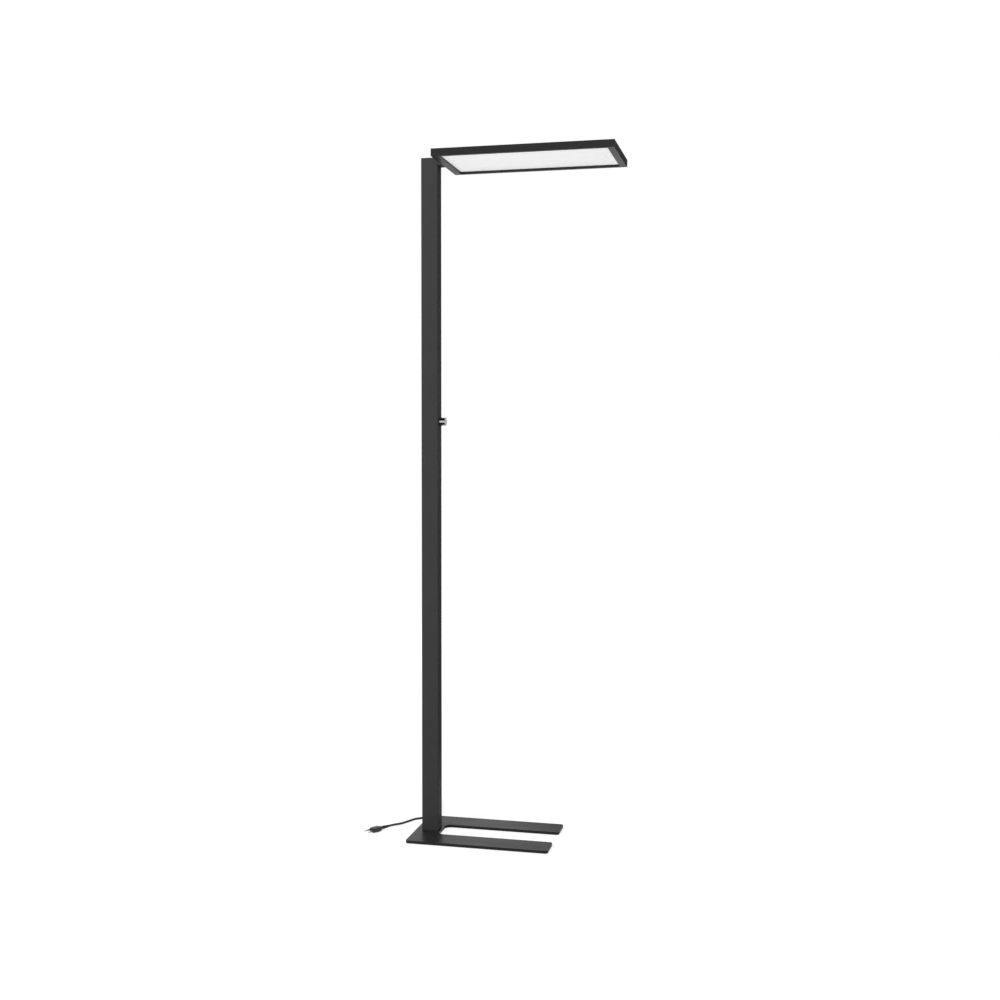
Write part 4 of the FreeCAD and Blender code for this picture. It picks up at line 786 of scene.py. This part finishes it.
# stations along the plug: distance, width, thickness, squareness of the outline; sizes in mm
plugSettings = {
    "stations": [
        (0.0, 11.0, 9.4, 2.4),
        (0.8, 12.6, 10.6, 2.6),
        (4.0, 16.0, 12.0, 2.8),
        (8.0, 21.5, 13.1, 3.2),
        (12.5, 25.4, 13.6, 3.6),
        (18.0, 25.8, 13.7, 4.0),
        (24.0, 25.4, 13.7, 4.4),
        (30.0, 23.4, 13.4, 4.8),
        (34.6, 22.0, 13.0, 5.0),
        (35.6, 21.4, 12.4, 5.0),
        (36.0, 20.4, 11.4, 5.0),
    ],
    "around": 72,
    "pinSpacing": 18.6,
    "pinProfile": [
        (-1.0, 2.0), (10.0, 2.0), (10.0, 1.95), (18.2, 1.95), (18.8, 1.5), (19.0, 0.9),
    ],
    "pinSegments": 32,
    "pinSleeve": 10,
    "ridges": {
        "Count": 5, "Pitch": 2.6 * mm, "Ridge Length": 12 * mm, "Ridge Radius": 0.7 * mm,
        "Half Thickness": 6.25 * mm,
    },
    "ridgeStart": 11.5,
}


def roundedRing(along, width, thickness, power, around):
    ring = []
    for number in range(around):
        angle = 2 * math.pi * number / around
        c, s = math.cos(angle), math.sin(angle)
        y = math.copysign(abs(c) ** (2 / power), c) * width / 2
        z = math.copysign(abs(s) ** (2 / power), s) * thickness / 2
        ring.append(Vector((along, y, z)) * mm)
    return ring


def makePin(settings, name, place):
    rings = circleRings(settings["pinProfile"], settings["pinSegments"])
    pin = ringMesh(name, rings, sharpAngles["turned"])
    pin.materials.append(materials["pinSleeve"])
    pin.materials.append(materials["nickel"])
    for face in pin.polygons:
        face.material_index = 0 if face.center.x < settings["pinSleeve"] * mm else 1
    setDown(pin, place, leadSettings["plugHeading"])
    piece = addPiece(name, pin)
    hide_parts("plug_pins")
    return piece


def makePlug(settings):
    heading = leadSettings["plugHeading"]
    way = plugWay(leadSettings)
    side = Vector((-way.y, way.x, 0))
    rings = [roundedRing(*station, settings["around"]) for station in settings["stations"]]
    mesh = ringMesh("plugBody", rings, sharpAngles["plug"])
    setDown(mesh, plugRoot, heading)
    body = addPiece("plugBody", mesh, materials["plugPlastic"])
    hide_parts("plug_body")
    front = plugRoot + way * settings["stations"][-1][0]
    pins = []
    for name, sign in (("plugPin1", -1), ("plugPin2", 1)):
        place = front + side * sign * settings["pinSpacing"] / 2
        pins.append(makePin(settings, name, place))
    values = dict(settings["ridges"], Material=materials["plugPlastic"])
    mesh = growPiece("plugRidges", ridgeTree, values)
    setDown(mesh, plugRoot + way * settings["ridgeStart"], heading)
    ridges = addPiece("plugRidges", mesh)
    return [body, *pins, ridges]


plugPieces = makePlug(plugSettings)

# the tie's place is in mm from the middle of the hank's lower face
tieSettings = {
    "low": 0.05,
    "high": 30.75,
    "left": -14.5,
    "right": 18.3,
    "corner": 3.4,
    "cornerSteps": 8,
    "thickness": 1.15,
    "width": 8.0,
    "edge": 0.3,
    "edgeHeights": (0.25, 0.75),  # shares of the thickness
    "startAt": -4.0,
    "lapAt": -7.0,
    "endAt": 11.0,
    "tipTaper": [(-1.6, 1.0), (-0.7, 0.86), (-0.2, 0.66), (0.0, 0.45)],
}


# the strap's outer face, from under the overlap to the tip: place, way out, share of its width
def tiePath(settings):
    corner, high, thickness = settings["corner"], settings["high"], settings["thickness"]
    left, right = settings["left"] + corner, settings["right"] - corner
    low, lap = settings["low"] + corner, high + thickness
    up = Vector((0, 0, 1))
    path = [(Vector((settings["startAt"], 0, high)), up, 1.0)]
    corners = [
        (right, high - corner, 90, 0),
        (right, low, 0, 0),
        (left, low, -90, 0),
        (left, high - corner, -180, 1),
    ]
    for x, z, start, lifted in corners:
        for step in range(settings["cornerSteps"] + 1):
            share = step / settings["cornerSteps"]
            angle = math.radians(start - 90 * share)
            out = Vector((math.cos(angle), 0, math.sin(angle)))
            lift = lifted * share * thickness
            path.append((Vector((x, 0, z)) + out * (corner + lift), out, 1.0))
    path.append((Vector((settings["lapAt"], 0, lap)), up, 1.0))
    for back, share in settings["tipTaper"]:
        path.append((Vector((settings["endAt"] + back, 0, lap)), up, share))
    return path


# once round the strap's section: (sideways, share of the thickness)
def tieSection(settings):
    half = settings["width"] / 2
    inset = half - settings["edge"]
    low, high = settings["edgeHeights"]
    outside = [(-half, high), (-inset, 1), (inset, 1), (half, high)]
    inside = [(half, low), (inset, 0), (-inset, 0), (-half, low)]
    return outside + inside


# a strap of hook-and-loop tape laid once round the hank, its tip over its start
def makeTie(settings):
    thickness = settings["thickness"]
    rings = []
    for place, out, share in tiePath(settings):
        ring = []
        for y, height in tieSection(settings):
            sideways = Vector((0, y * share, 0))
            ring.append((place + out * thickness * (height - 1) + sideways) * mm)
        rings.append(ring)
    mesh = ringMesh("leadTie", rings, sharpAngles["tie"])
    middle = hankSpot(leadSettings, 0, leadSettings["run"] / 2, 1)
    setDown(mesh, (middle.x, middle.y, 0), leadSettings["hankHeading"])
    tie = addPiece("leadTie", mesh, materials["tieFleece"])
    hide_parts("lead_tie")
    return tie


leadTie = makeTie(tieSettings)
print("plug, sleeves and tie made")

# the profile runs from the back rim round the outside to the face and into the bore: (X, radius)
knobSettings = {
    "profile": [
        (33.7, 9.0), (26.9, 9.0), (26.7, 9.2), (26.7, 11.3), (26.9, 11.7), (27.4, 12.0),
        (28.6, 12.0), (28.7, 11.86), (29.0, 11.86), (29.1, 12.0), (41.9, 12.0), (42.4, 11.85),
        (42.65, 11.6), (42.7, 11.2), (42.7, 10.0), (42.3, 9.6), (42.3, 0.0), (39.76, 0.0),
        (39.76, 3.06), (33.7, 3.06),
    ],
    "segments": 128,
    "grubPlace": 36.7,
    "grubProfile": [(-14.0, 1.6), (-2.0, 1.6)],
    "grubSegments": 32,
    "faceFrom": 42.0,
    "faceTilt": 0.9,  # X of a normal, above which a face looks forward
}


def makeKnob(settings):
    rings = circleRings(settings["profile"], settings["segments"], knobHeight)
    mesh = ringMesh("dimmerKnob", rings, sharpAngles["knob"], closeLoop=True)
    rings = circleRings(settings["grubProfile"], settings["grubSegments"])
    drill = ringMesh("drill", rings, sharpAngles["turned"])
    drill.transform(rotation(-90, "Y"))
    setDown(drill, (settings["grubPlace"], 0, knobHeight))
    cutter = addObject("drill", drill)
    blank = addObject("knobBlank", mesh)
    hole = blank.modifiers.new("grubHole", "BOOLEAN")
    hole.operation = "DIFFERENCE"
    hole.object = cutter
    drilled = finalMesh(blank)
    bpy.data.objects.remove(blank)
    bpy.data.objects.remove(cutter)
    drilled.materials.clear()
    drilled.name = "dimmerKnob"
    drilled.materials.append(materials["knobChrome"])
    drilled.materials.append(materials["knobFace"])
    for face in drilled.polygons:
        forward = face.normal.x > settings["faceTilt"]
        recessed = forward and face.center.x > settings["faceFrom"] * mm
        face.material_index = 1 if recessed else 0
    knob = addPiece("dimmerKnob", drilled, body="knob")
    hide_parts("dimmer_knob")


makeKnob(knobSettings)
print("knob turned")


def makeSpring():
    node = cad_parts["return_spring"]
    mesh = node.data.copy()
    mesh.transform(node.matrix_world)
    spring = addPiece("returnSpring", mesh)
    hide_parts("return_spring")
    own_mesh(spring)


makeSpring()
print("spring wound")

stageSettings = {
    "floorSize": 60.0,
    "floorLevel": -0.0003,
    "floorBounce": 0.6,
    "floorSeen": 0.30,
    "glowNear": 0.80,
    "glowFar": 1.0,
    "glowReach": (1.2, 4.0),
    "worldFill": 0.24,
    "worldSeen": 1.0,
    "cardGrey": 0.01,
}

# black cards that only reflections see: where, how large, how far tipped up, how far turned
cardSettings = [
    {
        "name": "cardRightHigh", "place": (1.35, 2.55, 2.35), "size": (1.9, 1.9),
        "tip": 90, "turn": -12,
    },
    {
        "name": "cardRightLow", "place": (1.25, 1.48, 0.56), "size": (1.9, 2.5),
        "tip": 25.6, "turn": -12,
    },
    {"name": "cardAbove", "place": (-0.6, -1.0, 3.0), "size": (2.4, 4.4), "tip": 0, "turn": 0},
    {"name": "cardFront", "place": (-0.5, -1.4, 0.004), "size": (2.0, 2.4), "tip": 0, "turn": 0},
    {"name": "cardLeft", "place": (-0.86, 0.25, 0.004), "size": (1.28, 0.9), "tip": 0, "turn": 0},
]

lampSettings = [
    {
        "name": "keyLight", "place": (-1.8, -3.4, 2.6), "aim": (0.1, 0, 1.0),
        "size": 1.8, "power": 105,
    },
    {
        "name": "topLight", "place": (0.2, -0.4, 4.2), "aim": (0.2, 0, 0),
        "size": 2.4, "power": 48,
    },
    {
        "name": "backLight", "place": (-1.6, 3.2, 2.4), "aim": (0.1, 0, 1.0),
        "size": 1.8, "power": 45,
    },
]


def grey(value):
    return (value, value, value, 1)


def seenRays(tree):
    path = tree.nodes.new("ShaderNodeLightPath").outputs
    direct = mathNode(tree, "MAXIMUM", path["Is Camera Ray"], path["Is Glossy Ray"])
    return mathNode(tree, "MAXIMUM", direct, path["Is Transmission Ray"])


def makeFloor(settings):
    material = bpy.data.materials.new("paleFloor")
    material.use_nodes = True
    tree = material.node_tree
    tree.nodes.clear()
    out = tree.nodes.new("ShaderNodeOutputMaterial")
    bounce = tree.nodes.new("ShaderNodeBsdfDiffuse")
    bounce.inputs[0].default_value = grey(settings["floorBounce"])
    seen = tree.nodes.new("ShaderNodeBsdfDiffuse")
    seen.inputs[0].default_value = grey(settings["floorSeen"])
    glow = tree.nodes.new("ShaderNodeEmission")
    far = vectorNode(tree, "LENGTH", objectPlace(tree), (0.0, 0.0, 0.0))
    strengths = (settings["glowNear"], settings["glowFar"])
    fade = mapRange(tree, far, settings["glowReach"], strengths)
    feed(tree, fade, glow.inputs["Strength"])
    added = tree.nodes.new("ShaderNodeAddShader")
    mixed = tree.nodes.new("ShaderNodeMixShader")
    feed(tree, seen.outputs[0], added.inputs[0])
    feed(tree, glow.outputs[0], added.inputs[1])
    feed(tree, seenRays(tree), mixed.inputs[0])
    feed(tree, bounce.outputs[0], mixed.inputs[1])
    feed(tree, added.outputs[0], mixed.inputs[2])
    feed(tree, mixed.outputs[0], out.inputs[0])
    place = (0, 0, settings["floorLevel"])
    bpy.ops.mesh.primitive_plane_add(size=settings["floorSize"], location=place)
    floor = bpy.context.object
    floor.name = "floor"
    floor.data.materials.append(material)


def makeCards(cards):
    material = bpy.data.materials.new("blackCard")
    material.use_nodes = True
    shader = material.node_tree.nodes["Principled BSDF"]
    shader.inputs["Base Color"].default_value = grey(stageSettings["cardGrey"])
    shader.inputs["Specular IOR Level"].default_value = 0.0
    for settings in cards:
        bpy.ops.mesh.primitive_plane_add(size=1, location=settings["place"])
        card = bpy.context.object
        card.name = settings["name"]
        card.scale = (*settings["size"], 1)
        turn = (math.radians(settings["tip"]), 0, math.radians(settings["turn"]))
        card.rotation_euler = turn
        card.data.materials.append(material)
        card.visible_camera = False
        card.visible_diffuse = False
        card.visible_shadow = False
        card.visible_transmission = False


def makeWorld(settings):
    world = bpy.data.worlds.new("studio")
    world.use_nodes = True
    scene.world = world
    tree = world.node_tree
    tree.nodes.clear()
    out = tree.nodes.new("ShaderNodeOutputWorld")
    backdrop = tree.nodes.new("ShaderNodeBackground")
    backdrop.inputs[0].default_value = grey(1)
    strengths = (settings["worldFill"], settings["worldSeen"])
    strength = mapRange(tree, seenRays(tree), toReach=strengths)
    feed(tree, strength, backdrop.inputs[1])
    feed(tree, backdrop.outputs[0], out.inputs[0])


def makeLamps(lamps):
    for settings in lamps:
        data = bpy.data.lights.new(settings["name"], "AREA")
        data.energy = settings["power"]
        data.size = settings["size"]
        lamp = addObject(settings["name"], data)
        lamp.location = settings["place"]
        aim = Vector(settings["aim"]) - Vector(settings["place"])
        lamp.rotation_euler = aim.to_track_quat("-Z", "Y").to_euler()
        lamp.visible_glossy = False


makeFloor(stageSettings)
makeCards(cardSettings)
makeWorld(stageSettings)
makeLamps(lampSettings)
print("stage set")
